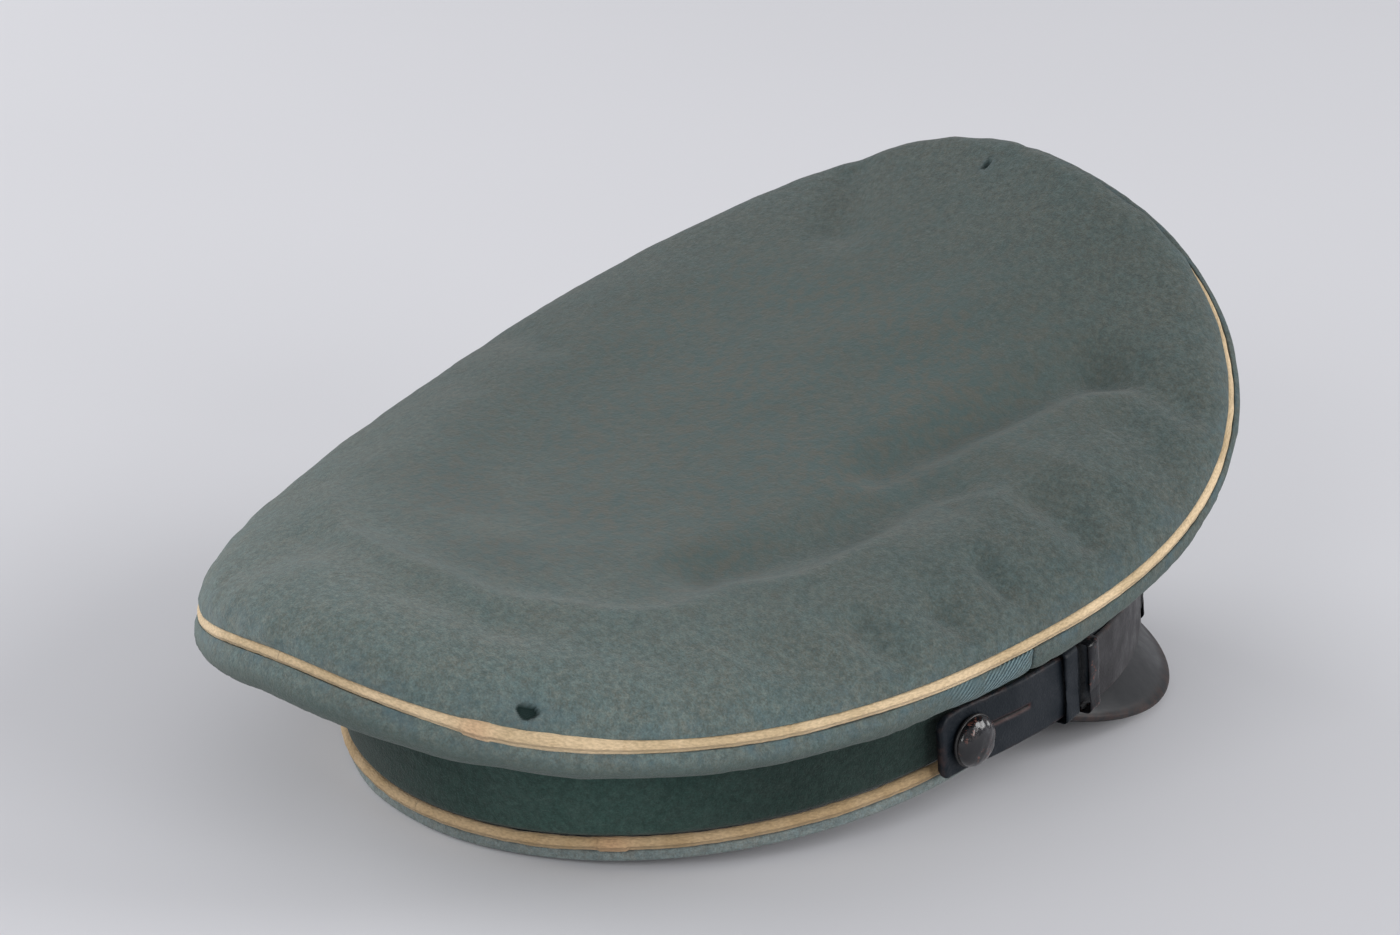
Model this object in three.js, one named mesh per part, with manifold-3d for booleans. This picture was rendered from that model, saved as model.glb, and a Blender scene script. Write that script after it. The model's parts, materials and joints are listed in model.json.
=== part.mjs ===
// Peaked cap with a soft saddle-shaped crown, a cloth head band, a short peak and a loose chin strap.
// Millimetres, +Z up. The peak points to -Y and the wearer's left is +X.
//
// The cap is drawn level, with the bottom edge of its head band in the plane z = 0 and the band's
// centre on the Z axis. It is then pitched about the rear of that edge until the peak's front edge
// touches the floor, which is how it rests by itself, and set with the centre of its box over the origin.
//
// An angle round the cap is 0 at the front, a quarter turn at the wearer's left and half a turn at the rear.

import * as THREE from 'three';
import Module from 'manifold-3d';
import { mergeVertices } from 'three/addons/utils/BufferGeometryUtils.js';

const wasm = await Module();
wasm.setup();

// ---------------------------------------------------------------- driving dimensions (mm, degrees)

const CLEARANCE = 0.35; // between neighbouring pieces
const LOOP_CLEARANCE = 0.55; // round what a loop or a curved edge encloses
const STATIONS = 60; // sections round the whole cap

// head band, an oval tube of cloth
const BAND_HALF_LENGTH = 99.5; // outside, front to rear
const BAND_HALF_WIDTH = 88.7; // outside, side to side
const BAND_WALL = 2.4;
const BAND_HEIGHT = 42; // top edge of the band
const EDGE_HEIGHT = 3.1; // turned cloth edge under the lower piping

// cord edging
const PIPING_RADIUS = 1.6;
const PIPING_SIDES = 6;
const PIPING_INSET = 0.4; // how far its centre lies inside the band's outer face
const LOWER_PIPING_Z = EDGE_HEIGHT + CLEARANCE + PIPING_RADIUS;
const UPPER_PIPING_Z = BAND_HEIGHT + CLEARANCE + PIPING_RADIUS;

// crown rim, the line of the piping between the top and the sides
const RIM_CENTRE_FORWARD = 5.3;
const RIM_HALF_LENGTH = 139.2;
const RIM_HALF_WIDTH = 112.5;
const RIM_SQUARENESS = 2.27; // 2 is an ellipse
const RIM_FRONT_FULLNESS = 0.115; // the front half is wider than the rear half
const RIM_FLAT_DEPTH = 5.4; // slight flat at the front of the rim
const RIM_FLAT_AT = -10;
const RIM_FLAT_SPREAD = 14.7;
const CLOTH_WALL = 2;
const CLOTH_FACE_OUT = 0.9; // how far the cloth's face stands outside the line through the cord's centre
const SEAM_WIDTH = 3; // the saddle starts to slope this far inside the rim
const SEAM_OUT = 0.6; // how far the side cloth stands out at the band's top seam

// height of the rim: one row for each number of waves round it
const RIM_HEIGHT = [
  { waves: 0, cos: 58.9, sin: 0 },
  { waves: 1, cos: 15.7, sin: -0.6 },
  { waves: 2, cos: 18.2, sin: 2.3 },
  { waves: 3, cos: 1.6, sin: 0 },
  { waves: 4, cos: 2.9, sin: 0 },
];

// soft roll of the top inside the rim: its ridge stands this far above the plain saddle
const ROLL_HEIGHT = [
  { waves: 0, cos: 13.5, sin: 0 },
  { waves: 1, cos: -4.3, sin: 2.3 },
  { waves: 2, cos: -2.2, sin: -0.7 },
  { waves: 3, cos: -0.7, sin: 0.5 },
];
// level distance from the rim to the ridge: narrow in front
const ROLL_WIDTH = [
  { waves: 0, cos: 27.9, sin: 0 },
  { waves: 1, cos: -12.9, sin: 0 },
  { waves: 2, cos: -6, sin: 0 },
];
const ROLL_SWELLING = 2.5; // the roll stands this much higher right of the front
const ROLL_SWELLING_AT = -19;
const ROLL_SWELLING_SPREAD = 13;
const ROLL_STEEP_HEIGHT = 7; // a roll much higher than this leaves the rim straight up
const ROLL_SHOULDER = 0.5; // share of the width over which the roll is level before its ridge
const CENTRE_LIFT = 8; // of the sunken middle above the plain saddle
const ROLL_CLIMB = 0.55; // share of its height that the roll climbs before it turns in
const ROLL_ROWS = 6;
const MIDDLE_ROWS = 6;
const MIDDLE_FALL = 0.4; // share of the way to the middle over which the ridge dies away

// furrows in the top cloth, each along a straight line in plan from one point to another
const FURROWS = [
  { fromX: -50, fromY: 40, toX: -69, toY: -20, width: 10, depth: 3.5 }, // foot of the right-hand ridge
  { fromX: -47, fromY: -22, toX: -63, toY: -88, width: 9, depth: 3.5 }, // crease of the right front lobe
  { fromX: -63, fromY: -88, toX: -90, toY: -92, width: 7, depth: 3.5 }, // the same crease turned to the rim
  { fromX: -84, fromY: -76, toX: -101, toY: -72, width: 8, depth: 2.5 }, // dent behind the right front rim
  { fromX: -90, fromY: -38, toX: -109, toY: -36, width: 6, depth: 2.5 }, // fold across the right-hand roll
  { fromX: -93, fromY: 9, toX: -107, toY: 11, width: 6, depth: 1.2 }, // shallow fold behind it
  { fromX: 36, fromY: 98, toX: 34, toY: 112, width: 12, depth: 2 }, // slack in the left rear roll
  { fromX: 92, fromY: -24, toX: 72, toY: -17, width: 7, depth: 1.5 }, // folds over the left-hand roll
  { fromX: 55, fromY: -122, toX: 38, toY: -98, width: 8, depth: 3 },
];
const FURROW_STARTS = 10; // furrows reach their full depth this far inside the rim

// side cloth under the rim: how far it swells out and down on its way to the band
const SIDE_SWELL_OUT = [
  { waves: 0, cos: 4.1, sin: 0 },
  { waves: 1, cos: 0.7, sin: 0 },
  { waves: 2, cos: 3, sin: 0 },
];
const SIDE_SWELL_DOWN = [
  { waves: 0, cos: 5.5, sin: 0 },
  { waves: 1, cos: -3.8, sin: 0 },
  { waves: 2, cos: -2.3, sin: 0 },
  { waves: 3, cos: -0.8, sin: 0 },
];
const SIDE_ROWS = 7;

// peak
const PEAK_HALF_ANGLE = 70.2; // from the front to each corner
const PEAK_REACH = 32.4; // level distance from the band at the front
const PEAK_SLOPE = 0.6904; // drop for each millimetre of reach
const PEAK_ROOT_SHARE = 0.3; // part of the drop that is straight, the rest curves down
const PEAK_SQUARENESS = 4.5; // how long the peak keeps its reach on the way to the corners
const PEAK_CORNER_SWEEP = 1.5; // how softly its edge runs into the band there
const PEAK_THICKNESS = 2;
const PEAK_EDGE_BEVEL = 0.8; // its under face ends this far inside its upper face
const PEAK_SPREAD = 0.965; // share of the half angle at which the corners are cut off
const PEAK_STATIONS = 30;
const PEAK_ROWS = 5;

// chin strap, a stiff loop that leaves the side buttons and stands forward just above the peak
const STRAP_HALF_LENGTH = 121; // of its route, inner face
const STRAP_HALF_WIDTH = 92;
const STRAP_SQUARENESS = 2.3;
const STRAP_HEIGHT = 17.6;
const STRAP_THICKNESS = 1.6;
const STRAP_SIDE_Z = 4.2; // its lower edge at the buttons
const STRAP_SAG = 12.5; // how much lower its lower edge is at the front
const STRAP_END_ANGLE = 94;
const STRAP_END_TRIM = 2.5; // its ends are this much narrower at each edge
const STRAP_STATIONS = 44;
const OUTER_STRAP_END_ANGLE = 64.9;
const LOOP_THICKNESS = 1.3; // behind, above and below the strap

// side buttons
const BUTTON_ANGLE = 89;
const BUTTON_Z = 12.2;
const BUTTON_RADIUS = 7;
const BUTTON_DOME = 4.4;
const BUTTON_RIM = 1.1;
const SHANK_RADIUS = 2;
const SHANK_HOLE_RADIUS = 2.5;
const BUTTON_SIDES = 20;
const HOLE_SIDES = 16;
const DOME_STEPS = 4;

// ---------------------------------------------------------------- materials

const fieldCloth = { color: 0x5f7270, roughness: 0.95, metalness: 0 };
const bandCloth = { color: 0x26382f, roughness: 0.95, metalness: 0 };
const cord = { color: 0xcbb083, roughness: 0.85, metalness: 0 };
const leather = { color: 0x2a2d30, roughness: 0.45, metalness: 0 };
const patent = { color: 0x1d2022, roughness: 0.28, metalness: 0 };
const enamel = { color: 0x17181a, roughness: 0.25, metalness: 0.4 };

// loops round the strap on each side: angle, width along the strap, height inside in layers of strap,
// and thickness in front of the strap
const STRAP_LOOPS = [
  { name: 'keeper', angle: 70.3, width: 6, layers: 1, frontThickness: 1.3, finish: leather },
  { name: 'buckle', angle: 66.3, width: 4.4, layers: 2, frontThickness: 1.3, finish: enamel },
  { name: 'slide', angle: 36.5, width: 5, layers: 2, frontThickness: 2.6, finish: enamel },
];

const cap = new THREE.Group();

function addPiece(name, geometry, finish) {
  const mesh = new THREE.Mesh(geometry, new THREE.MeshStandardMaterial(finish));
  mesh.name = name;
  cap.add(mesh);
}

// ---------------------------------------------------------------- small helpers

const radians = THREE.MathUtils.degToRad;
const quarter = Math.PI / 2;
const MERGE_DISTANCE = 1e-4;

// angle folded into -pi to pi
const folded = (angle) => Math.atan2(Math.sin(angle), Math.cos(angle));

// sum of the waves in a table; inward is 1 at the rim and 0 in the middle
function waves(table, angle, inward = 1) {
  let sum = 0;
  for (const row of table) {
    const swing = row.cos * Math.cos(row.waves * angle) + row.sin * Math.sin(row.waves * angle);
    sum += inward ** row.waves * swing;
  }
  return sum;
}

// a point given by its section (origin and outward direction in plan) and its place in that section
const inSection = (section, out, z) =>
  new THREE.Vector3(section.x + section.outX * out, section.y + section.outY * out, z);

// points moved by a distance to the right of their direction of travel, in the section's own plane
function offsetLine(line, distance) {
  return line.map((point, i) => {
    const before = line[Math.max(i - 1, 0)];
    const after = line[Math.min(i + 1, line.length - 1)];
    const run = new THREE.Vector2().subVectors(after, before).normalize();
    return new THREE.Vector2(point.x + run.y * distance, point.y - run.x * distance);
  });
}

// A closed skin through stations, each with an outer and an inner row of points. The stations close on
// themselves, or the skin gets a cap at each end. With a pole, all last points of a row are one point.
function skin(stations, { closed = false, pole = false } = {}) {
  const last = stations[0].outer.length - 1;
  const positions = [];
  const index = [];
  const number = new Map();
  const vertex = (station, side, row) => {
    const atPole = pole && row === last;
    const key = atPole ? side : `${station}/${side}/${row}`;
    if (!number.has(key)) {
      number.set(key, positions.length / 3);
      positions.push(...stations[station][side][row].toArray());
    }
    return number.get(key);
  };
  const outer = (station, row) => vertex(station, 'outer', row);
  const inner = (station, row) => vertex(station, 'inner', row);
  const triangle = (a, b, c) => {
    if (a !== b && b !== c && c !== a) index.push(a, b, c);
  };
  const quad = (a, b, c, d) => {
    triangle(a, b, c);
    triangle(a, c, d);
  };
  const spans = closed ? stations.length : stations.length - 1;
  for (let s = 0; s < spans; s += 1) {
    const t = (s + 1) % stations.length;
    for (let r = 0; r < last; r += 1) {
      quad(outer(s, r), outer(t, r), outer(t, r + 1), outer(s, r + 1));
      quad(inner(s, r), inner(s, r + 1), inner(t, r + 1), inner(t, r));
    }
    quad(outer(s, 0), inner(s, 0), inner(t, 0), outer(t, 0));
    if (!pole) quad(outer(s, last), outer(t, last), inner(t, last), inner(s, last));
  }
  if (!closed) {
    for (let r = 0; r < last; r += 1) {
      quad(outer(0, r), outer(0, r + 1), inner(0, r + 1), inner(0, r));
      quad(outer(spans, r), inner(spans, r), inner(spans, r + 1), outer(spans, r + 1));
    }
  }
  return facingOut(positions, index);
}

// geometry with its triangles turned so that the enclosed volume is positive
function facingOut(positions, index) {
  const at = (i) => new THREE.Vector3().fromArray(positions, 3 * i);
  let volume = 0;
  for (let i = 0; i < index.length; i += 3) {
    volume += at(index[i]).dot(at(index[i + 1]).cross(at(index[i + 2])));
  }
  if (volume < 0) index.reverse();
  const geometry = new THREE.BufferGeometry();
  geometry.setAttribute('position', new THREE.Float32BufferAttribute(positions, 3));
  geometry.setIndex(index);
  geometry.computeVertexNormals();
  return geometry;
}

// ring-shaped skin whose section is a closed polygon, given for each station
function loopedSkin(stations) {
  const sides = stations[0].length;
  const positions = stations.flatMap((polygon) => polygon.flatMap((point) => point.toArray()));
  const index = [];
  for (let s = 0; s < stations.length; s += 1) {
    const t = (s + 1) % stations.length;
    for (let k = 0; k < sides; k += 1) {
      const l = (k + 1) % sides;
      index.push(s * sides + k, t * sides + k, t * sides + l);
      index.push(s * sides + k, t * sides + l, s * sides + l);
    }
  }
  return facingOut(positions, index);
}

// a geometry as a solid that can be cut
function solidOf(geometry) {
  const bare = geometry.clone();
  for (const name of Object.keys(bare.attributes)) {
    if (name !== 'position') bare.deleteAttribute(name);
  }
  const merged = mergeVertices(bare, MERGE_DISTANCE);
  const vertProperties = merged.attributes.position.array;
  const triVerts = merged.index.array;
  return new wasm.Manifold(new wasm.Mesh({ numProp: 3, vertProperties, triVerts }));
}

// a cut solid as a geometry again
function geometryOf(solid) {
  const mesh = solid.getMesh();
  const corners = new Float32Array(mesh.vertProperties);
  const geometry = new THREE.BufferGeometry();
  geometry.setAttribute('position', new THREE.BufferAttribute(corners, 3));
  geometry.setIndex(new THREE.BufferAttribute(new Uint32Array(mesh.triVerts), 1));
  geometry.computeVertexNormals();
  return geometry;
}

// ---------------------------------------------------------------- sections of the band and the crown

// section of the band's outer face, an ellipse; its outward direction is square to the ellipse
function bandSection(angle) {
  const x = BAND_HALF_WIDTH * Math.sin(angle);
  const y = -BAND_HALF_LENGTH * Math.cos(angle);
  const normal = new THREE.Vector2(x / BAND_HALF_WIDTH ** 2, y / BAND_HALF_LENGTH ** 2).normalize();
  return { x, y, outX: normal.x, outY: normal.y };
}

// distance to a superellipse of half axes 1, along the direction with this cosine and sine
const superellipseReach = (c, s, power) => (Math.abs(c) ** power + Math.abs(s) ** power) ** (-1 / power);

// section of the crown rim, a superellipse that is fuller in front; z is the rim's own height
function rimSection(angle) {
  const c = Math.cos(angle);
  const s = Math.sin(angle);
  const reach = superellipseReach(c, s, RIM_SQUARENESS);
  const fromFlat = folded(angle - radians(RIM_FLAT_AT)) / radians(RIM_FLAT_SPREAD);
  const flat = RIM_FLAT_DEPTH * Math.exp(-(fromFlat ** 2)) * c;
  const sideways = RIM_HALF_WIDTH * s * reach * (1 + RIM_FRONT_FULLNESS * c);
  const forward = RIM_HALF_LENGTH * c * reach - flat;
  const radius = Math.hypot(sideways, forward);
  return {
    x: sideways,
    y: -(RIM_CENTRE_FORWARD + forward),
    z: waves(RIM_HEIGHT, angle),
    outX: sideways / radius,
    outY: -forward / radius,
    radius,
  };
}

const roundStations = (count) => Array.from({ length: count }, (_, i) => (2 * Math.PI * i) / count);

// where a cloth that leaves the rim's piping in a given direction has its outer face: the cloth's edge
// is square to that direction, clear of the cord, and its middle is a little inside the cord's centre
function edgeAtRim(out, up) {
  const travel = new THREE.Vector2(out, up).normalize();
  const side = new THREE.Vector2(Math.abs(travel.y), Math.abs(travel.x));
  const edge = travel.clone().multiplyScalar(PIPING_RADIUS + CLEARANCE);
  return { travel, edge: edge.addScaledVector(side, CLOTH_FACE_OUT) };
}

// height of the plain saddle, a soap film that hangs from the rim, at a distance inside the rim
function saddleZ(angle, inset, radius) {
  const inward = 1 - Math.max(inset - SEAM_WIDTH, 0) / (radius - SEAM_WIDTH);
  return waves(RIM_HEIGHT, angle, inward);
}

// depth of all furrows at a point in plan: each is a bell curve of the distance to its line
function furrowDepth(x, y) {
  const point = new THREE.Vector3(x, y, 0);
  let depth = 0;
  for (const furrow of FURROWS) {
    const from = new THREE.Vector3(furrow.fromX, furrow.fromY, 0);
    const to = new THREE.Vector3(furrow.toX, furrow.toY, 0);
    const nearest = new THREE.Line3(from, to).closestPointToPoint(point, true, new THREE.Vector3());
    depth += furrow.depth * Math.exp(-((point.distanceTo(nearest) / furrow.width) ** 2));
  }
  return depth;
}

// top cloth: a cubic curve climbs from the rim to the ridge of the roll, then the cloth sinks towards
// the middle as a bell curve; both are heights above the plain saddle, and the furrows are sunk into them
function topLine(angle) {
  const rim = rimSection(angle);
  const offSwelling = THREE.MathUtils.euclideanModulo(angle - radians(ROLL_SWELLING_AT) + Math.PI, 2 * Math.PI) - Math.PI;
  const swelling = ROLL_SWELLING * Math.exp(-((offSwelling / radians(ROLL_SWELLING_SPREAD)) ** 2));
  const ridge = waves(ROLL_HEIGHT, angle) + swelling;
  const width = waves(ROLL_WIDTH, angle);
  const climb = quarter * (1 - Math.exp(-((ridge / ROLL_STEEP_HEIGHT) ** 2)));
  const { travel, edge } = edgeAtRim(-Math.cos(climb), Math.sin(climb));
  const roll = new THREE.CubicBezierCurve(
    edge,
    edge.clone().addScaledVector(travel, ROLL_CLIMB * ridge),
    new THREE.Vector2(-width * (1 - ROLL_SHOULDER), ridge),
    new THREE.Vector2(-width, ridge),
  );
  const lifts = roll.getPoints(ROLL_ROWS);
  for (let i = 1; i <= MIDDLE_ROWS; i += 1) {
    const share = i / MIDDLE_ROWS;
    const fade = Math.exp(-((share / MIDDLE_FALL) ** 2));
    const inset = width + (rim.radius - width) * share;
    lifts.push(new THREE.Vector2(-inset, CENTRE_LIFT + (ridge - CENTRE_LIFT) * fade));
  }
  const line = lifts.map((lift) => {
    const sunk = furrowDepth(rim.x + rim.outX * lift.x, rim.y + rim.outY * lift.x);
    const share = THREE.MathUtils.clamp(-lift.x / FURROW_STARTS, 0, 1);
    return new THREE.Vector2(lift.x, lift.y + saddleZ(angle, -lift.x, rim.radius) - share * sunk);
  });
  return { rim, travel, line };
}

// side cloth: the straight way from under the rim's piping to the band's top seam, with a swell added
// that is a half wave of the running parameter
function sideLine(angle) {
  const rim = rimSection(angle);
  const band = bandSection(angle);
  const swell = new THREE.Vector2(waves(SIDE_SWELL_OUT, angle), -waves(SIDE_SWELL_DOWN, angle));
  const { travel, edge } = edgeAtRim(swell.x, swell.y);
  const start = new THREE.Vector2(edge.x, edge.y + rim.z);
  const seamOut = (band.x - rim.x) * rim.outX + (band.y - rim.y) * rim.outY;
  const end = new THREE.Vector2(seamOut + SEAM_OUT, UPPER_PIPING_Z + PIPING_RADIUS + LOOP_CLEARANCE);
  const line = Array.from({ length: SIDE_ROWS + 1 }, (_, i) => {
    const t = i / SIDE_ROWS;
    return start.clone().lerp(end, t * t).addScaledVector(swell, Math.sin(Math.PI * t));
  });
  return { rim, travel, line };
}

// inner face of a cloth, at the wall's thickness inside its outer face; its first point keeps the
// cloth's edge square to the direction in which the cloth leaves the rim
function innerFace({ travel, line }, turn) {
  const inner = offsetLine(line, turn * CLOTH_WALL);
  inner[0].set(line[0].x + turn * travel.y * CLOTH_WALL, line[0].y - turn * travel.x * CLOTH_WALL);
  return inner;
}

const place = (section, line) => line.map((point) => inSection(section, point.x, point.y));

function topGeometry() {
  const stations = roundStations(STATIONS).map((angle) => {
    const cloth = topLine(angle);
    const inner = innerFace(cloth, -1);
    const middle = cloth.line[cloth.line.length - 1];
    inner[inner.length - 1].set(middle.x, middle.y - CLOTH_WALL);
    return { outer: place(cloth.rim, cloth.line), inner: place(cloth.rim, inner) };
  });
  return skin(stations, { closed: true, pole: true });
}

// side panel between two angles
function sideGeometry(from, to) {
  const trim = CLEARANCE / 2 / RIM_HALF_WIDTH;
  const count = Math.round((STATIONS * (to - from)) / (2 * Math.PI));
  const stations = Array.from({ length: count + 1 }, (_, i) => {
    const cloth = sideLine(from + trim + ((to - from - 2 * trim) * i) / count);
    return { outer: place(cloth.rim, cloth.line), inner: place(cloth.rim, innerFace(cloth, 1)) };
  });
  return skin(stations);
}

// oval tube wall between two heights
function ovalWall(bottom, top, wall) {
  const stations = roundStations(STATIONS).map((angle) => {
    const section = bandSection(angle);
    return {
      outer: [inSection(section, 0, bottom), inSection(section, 0, top)],
      inner: [inSection(section, -wall, bottom), inSection(section, -wall, top)],
    };
  });
  return skin(stations, { closed: true });
}

// cord with a many-sided section, carried round the cap
function pipingGeometry(sectionAt, inset, heightAt) {
  const stations = roundStations(STATIONS).map((angle) => {
    const section = sectionAt(angle);
    const centreZ = heightAt(section);
    return Array.from({ length: PIPING_SIDES }, (_, k) => {
      const turn = (2 * Math.PI * k) / PIPING_SIDES;
      const out = PIPING_RADIUS * Math.cos(turn) - inset;
      return inSection(section, out, centreZ + PIPING_RADIUS * Math.sin(turn));
    });
  });
  return loopedSkin(stations);
}

// ---------------------------------------------------------------- peak

// height of the peak's upper face: a straight share and a share that grows with the square
const peakZ = (share, reach) =>
  -CLEARANCE - PEAK_SLOPE * reach * (PEAK_ROOT_SHARE * share + (1 - PEAK_ROOT_SHARE) * share ** 2);

// level distance from the band to the peak's edge; spread is -1 and 1 at the corners
const peakReach = (spread) =>
  PEAK_REACH * (1 - Math.abs(spread) ** PEAK_SQUARENESS) ** PEAK_CORNER_SWEEP;

function peakStations() {
  return Array.from({ length: PEAK_STATIONS + 1 }, (_, i) => {
    const spread = (PEAK_SPREAD * (2 * i - PEAK_STATIONS)) / PEAK_STATIONS;
    const section = bandSection(spread * radians(PEAK_HALF_ANGLE));
    const reach = peakReach(spread);
    const outer = [inSection(section, -BAND_WALL, -CLEARANCE)];
    const inner = [inSection(section, -BAND_WALL, -CLEARANCE - PEAK_THICKNESS)];
    for (let r = 0; r <= PEAK_ROWS; r += 1) {
      const share = r / PEAK_ROWS;
      const z = peakZ(share, reach);
      outer.push(inSection(section, share * reach, z));
      inner.push(inSection(section, share * (reach - PEAK_EDGE_BEVEL), z - PEAK_THICKNESS));
    }
    return { outer, inner };
  });
}

// ---------------------------------------------------------------- chin strap

// section of the strap's inner face; z is the height of its lower edge
function strapSection(angle) {
  const c = Math.cos(angle);
  const s = Math.sin(angle);
  const reach = superellipseReach(c, s, STRAP_SQUARENESS);
  const x = STRAP_HALF_WIDTH * s * reach;
  const y = -STRAP_HALF_LENGTH * c * reach;
  const bend = (value, half) => Math.sign(value) * (Math.abs(value) / half) ** (STRAP_SQUARENESS - 1) / half;
  const normal = new THREE.Vector2(bend(x, STRAP_HALF_WIDTH), bend(y, STRAP_HALF_LENGTH)).normalize();
  const z = STRAP_SIDE_Z - STRAP_SAG * Math.max(c, 0);
  return { x, y, z, outX: normal.x, outY: normal.y };
}

// flat strip standing on edge along the strap's route
function strapGeometry(endAngle, innerOut, squareEnds) {
  const end = radians(endAngle);
  const stations = Array.from({ length: STRAP_STATIONS + 1 }, (_, i) => {
    const section = strapSection(-end + (2 * end * i) / STRAP_STATIONS);
    const atEnd = i === 0 || i === STRAP_STATIONS;
    const trim = atEnd && !squareEnds ? STRAP_END_TRIM : 0;
    const low = section.z + trim;
    const high = section.z + STRAP_HEIGHT - trim;
    const outerOut = innerOut + STRAP_THICKNESS;
    return {
      outer: [inSection(section, outerOut, low), inSection(section, outerOut, high)],
      inner: [inSection(section, innerOut, low), inSection(section, innerOut, high)],
    };
  });
  return skin(stations);
}

// rectangular loop that goes round one or both layers of the strap
function loopGeometry(side, { angle, width, layers, frontThickness }) {
  const section = strapSection(side * radians(angle));
  const back = -LOOP_CLEARANCE;
  const front = layers * STRAP_THICKNESS + (layers - 1) * CLEARANCE + LOOP_CLEARANCE;
  const low = section.z - LOOP_CLEARANCE;
  const high = section.z + STRAP_HEIGHT + LOOP_CLEARANCE;
  const t = LOOP_THICKNESS;
  const ring = new THREE.Shape([
    new THREE.Vector2(back - t, low - t),
    new THREE.Vector2(front + frontThickness, low - t),
    new THREE.Vector2(front + frontThickness, high + t),
    new THREE.Vector2(back - t, high + t),
  ]);
  ring.holes.push(
    new THREE.Path([
      new THREE.Vector2(back, low),
      new THREE.Vector2(back, high),
      new THREE.Vector2(front, high),
      new THREE.Vector2(front, low),
    ]),
  );
  const geometry = new THREE.ExtrudeGeometry(ring, { depth: width, bevelEnabled: false });
  geometry.translate(0, 0, -width / 2);
  // shape x runs outward, shape y runs up, the extrusion runs along the strap
  const outward = new THREE.Vector3(section.outX, section.outY, 0);
  const up = new THREE.Vector3(0, 0, 1);
  const along = new THREE.Vector3().crossVectors(outward, up);
  const placing = new THREE.Matrix4().makeBasis(outward, up, along);
  return geometry.applyMatrix4(placing.setPosition(section.x, section.y, 0));
}

// ---------------------------------------------------------------- side buttons

// where a button's axis meets the band, and its outward direction
const buttonSection = (side) => bandSection(side * radians(BUTTON_ANGLE));

// distance from the band's face to the strap's outer face, along the button's axis
const buttonSeat = STRAP_HALF_WIDTH - BAND_HALF_WIDTH + STRAP_THICKNESS;

// puts a shape turned about its own axis onto the button's axis, with its start at the band's face
function onButtonAxis(geometry, side) {
  const section = buttonSection(side);
  geometry.rotateX(quarter);
  const outward = new THREE.Vector3(section.outX, section.outY, 0);
  const up = new THREE.Vector3(0, 0, 1);
  const across = new THREE.Vector3().crossVectors(up, outward);
  const placing = new THREE.Matrix4().makeBasis(across, up, outward);
  return geometry.applyMatrix4(placing.setPosition(section.x, section.y, BUTTON_Z));
}

function buttonGeometry(side) {
  const back = buttonSeat + 2 * CLEARANCE;
  const profile = [
    new THREE.Vector2(0, CLEARANCE),
    new THREE.Vector2(SHANK_RADIUS, CLEARANCE),
    new THREE.Vector2(SHANK_RADIUS, back),
    new THREE.Vector2(BUTTON_RADIUS, back),
    new THREE.Vector2(BUTTON_RADIUS, back + BUTTON_RIM),
  ];
  for (let i = 1; i <= DOME_STEPS; i += 1) {
    const turn = (quarter * i) / DOME_STEPS;
    const radius = i === DOME_STEPS ? 0 : BUTTON_RADIUS * Math.cos(turn);
    const rise = BUTTON_RIM + (BUTTON_DOME - BUTTON_RIM) * Math.sin(turn);
    profile.push(new THREE.Vector2(radius, back + rise));
  }
  return onButtonAxis(new THREE.LatheGeometry(profile, BUTTON_SIDES), side);
}

function shankHole(side) {
  const length = 4 * buttonSeat;
  const drill = new THREE.CylinderGeometry(SHANK_HOLE_RADIUS, SHANK_HOLE_RADIUS, length, HOLE_SIDES);
  return solidOf(onButtonAxis(drill, side));
}

// ---------------------------------------------------------------- the pieces

addPiece('crown_top', topGeometry(), fieldCloth);
addPiece('side_front', sideGeometry(-quarter, quarter), fieldCloth);
addPiece('side_rear', sideGeometry(quarter, 3 * quarter), fieldCloth);
addPiece('crown_piping', pipingGeometry(rimSection, 0, (section) => section.z), cord);
addPiece('band', ovalWall(LOWER_PIPING_Z + PIPING_RADIUS + CLEARANCE, BAND_HEIGHT, BAND_WALL), bandCloth);
addPiece('band_piping_upper', pipingGeometry(bandSection, PIPING_INSET, () => UPPER_PIPING_Z), cord);
addPiece('band_piping_lower', pipingGeometry(bandSection, PIPING_INSET, () => LOWER_PIPING_Z), cord);
addPiece('band_edge', ovalWall(0, EDGE_HEIGHT, BAND_WALL), fieldCloth);
addPiece('peak', skin(peakStations()), patent);

const innerStrap = solidOf(strapGeometry(STRAP_END_ANGLE, 0, false));
const piercedStrap = innerStrap.subtract(shankHole(1)).subtract(shankHole(-1));
addPiece('strap_inner', geometryOf(piercedStrap), leather);
addPiece('strap_outer', strapGeometry(OUTER_STRAP_END_ANGLE, STRAP_THICKNESS + CLEARANCE, true), leather);

for (const [sideName, side] of [['right', -1], ['left', 1]]) {
  for (const loop of STRAP_LOOPS) {
    addPiece(`${loop.name}_${sideName}`, loopGeometry(side, loop), loop.finish);
  }
  addPiece(`button_${sideName}`, buttonGeometry(side), enamel);
}

// ---------------------------------------------------------------- at rest on the floor

// the cap turns about the rear of the band's bottom edge until the lowest part of the peak's edge is down
const pitchTo = (point) => Math.atan2(-point.z, BAND_HALF_LENGTH - point.y);
const pitch = Math.max(...peakStations().map(({ inner }) => pitchTo(inner[inner.length - 1])));

cap.position.y = -BAND_HALF_LENGTH;
const resting = new THREE.Group();
resting.add(cap);
resting.rotation.x = -pitch;

const group = new THREE.Group();
group.add(resting);
group.updateMatrixWorld(true);
const box = new THREE.Box3().setFromObject(group, true);
resting.position.set(-(box.min.x + box.max.x) / 2, -(box.min.y + box.max.y) / 2, -box.min.z);
group.updateMatrixWorld(true);

export default group;
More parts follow.
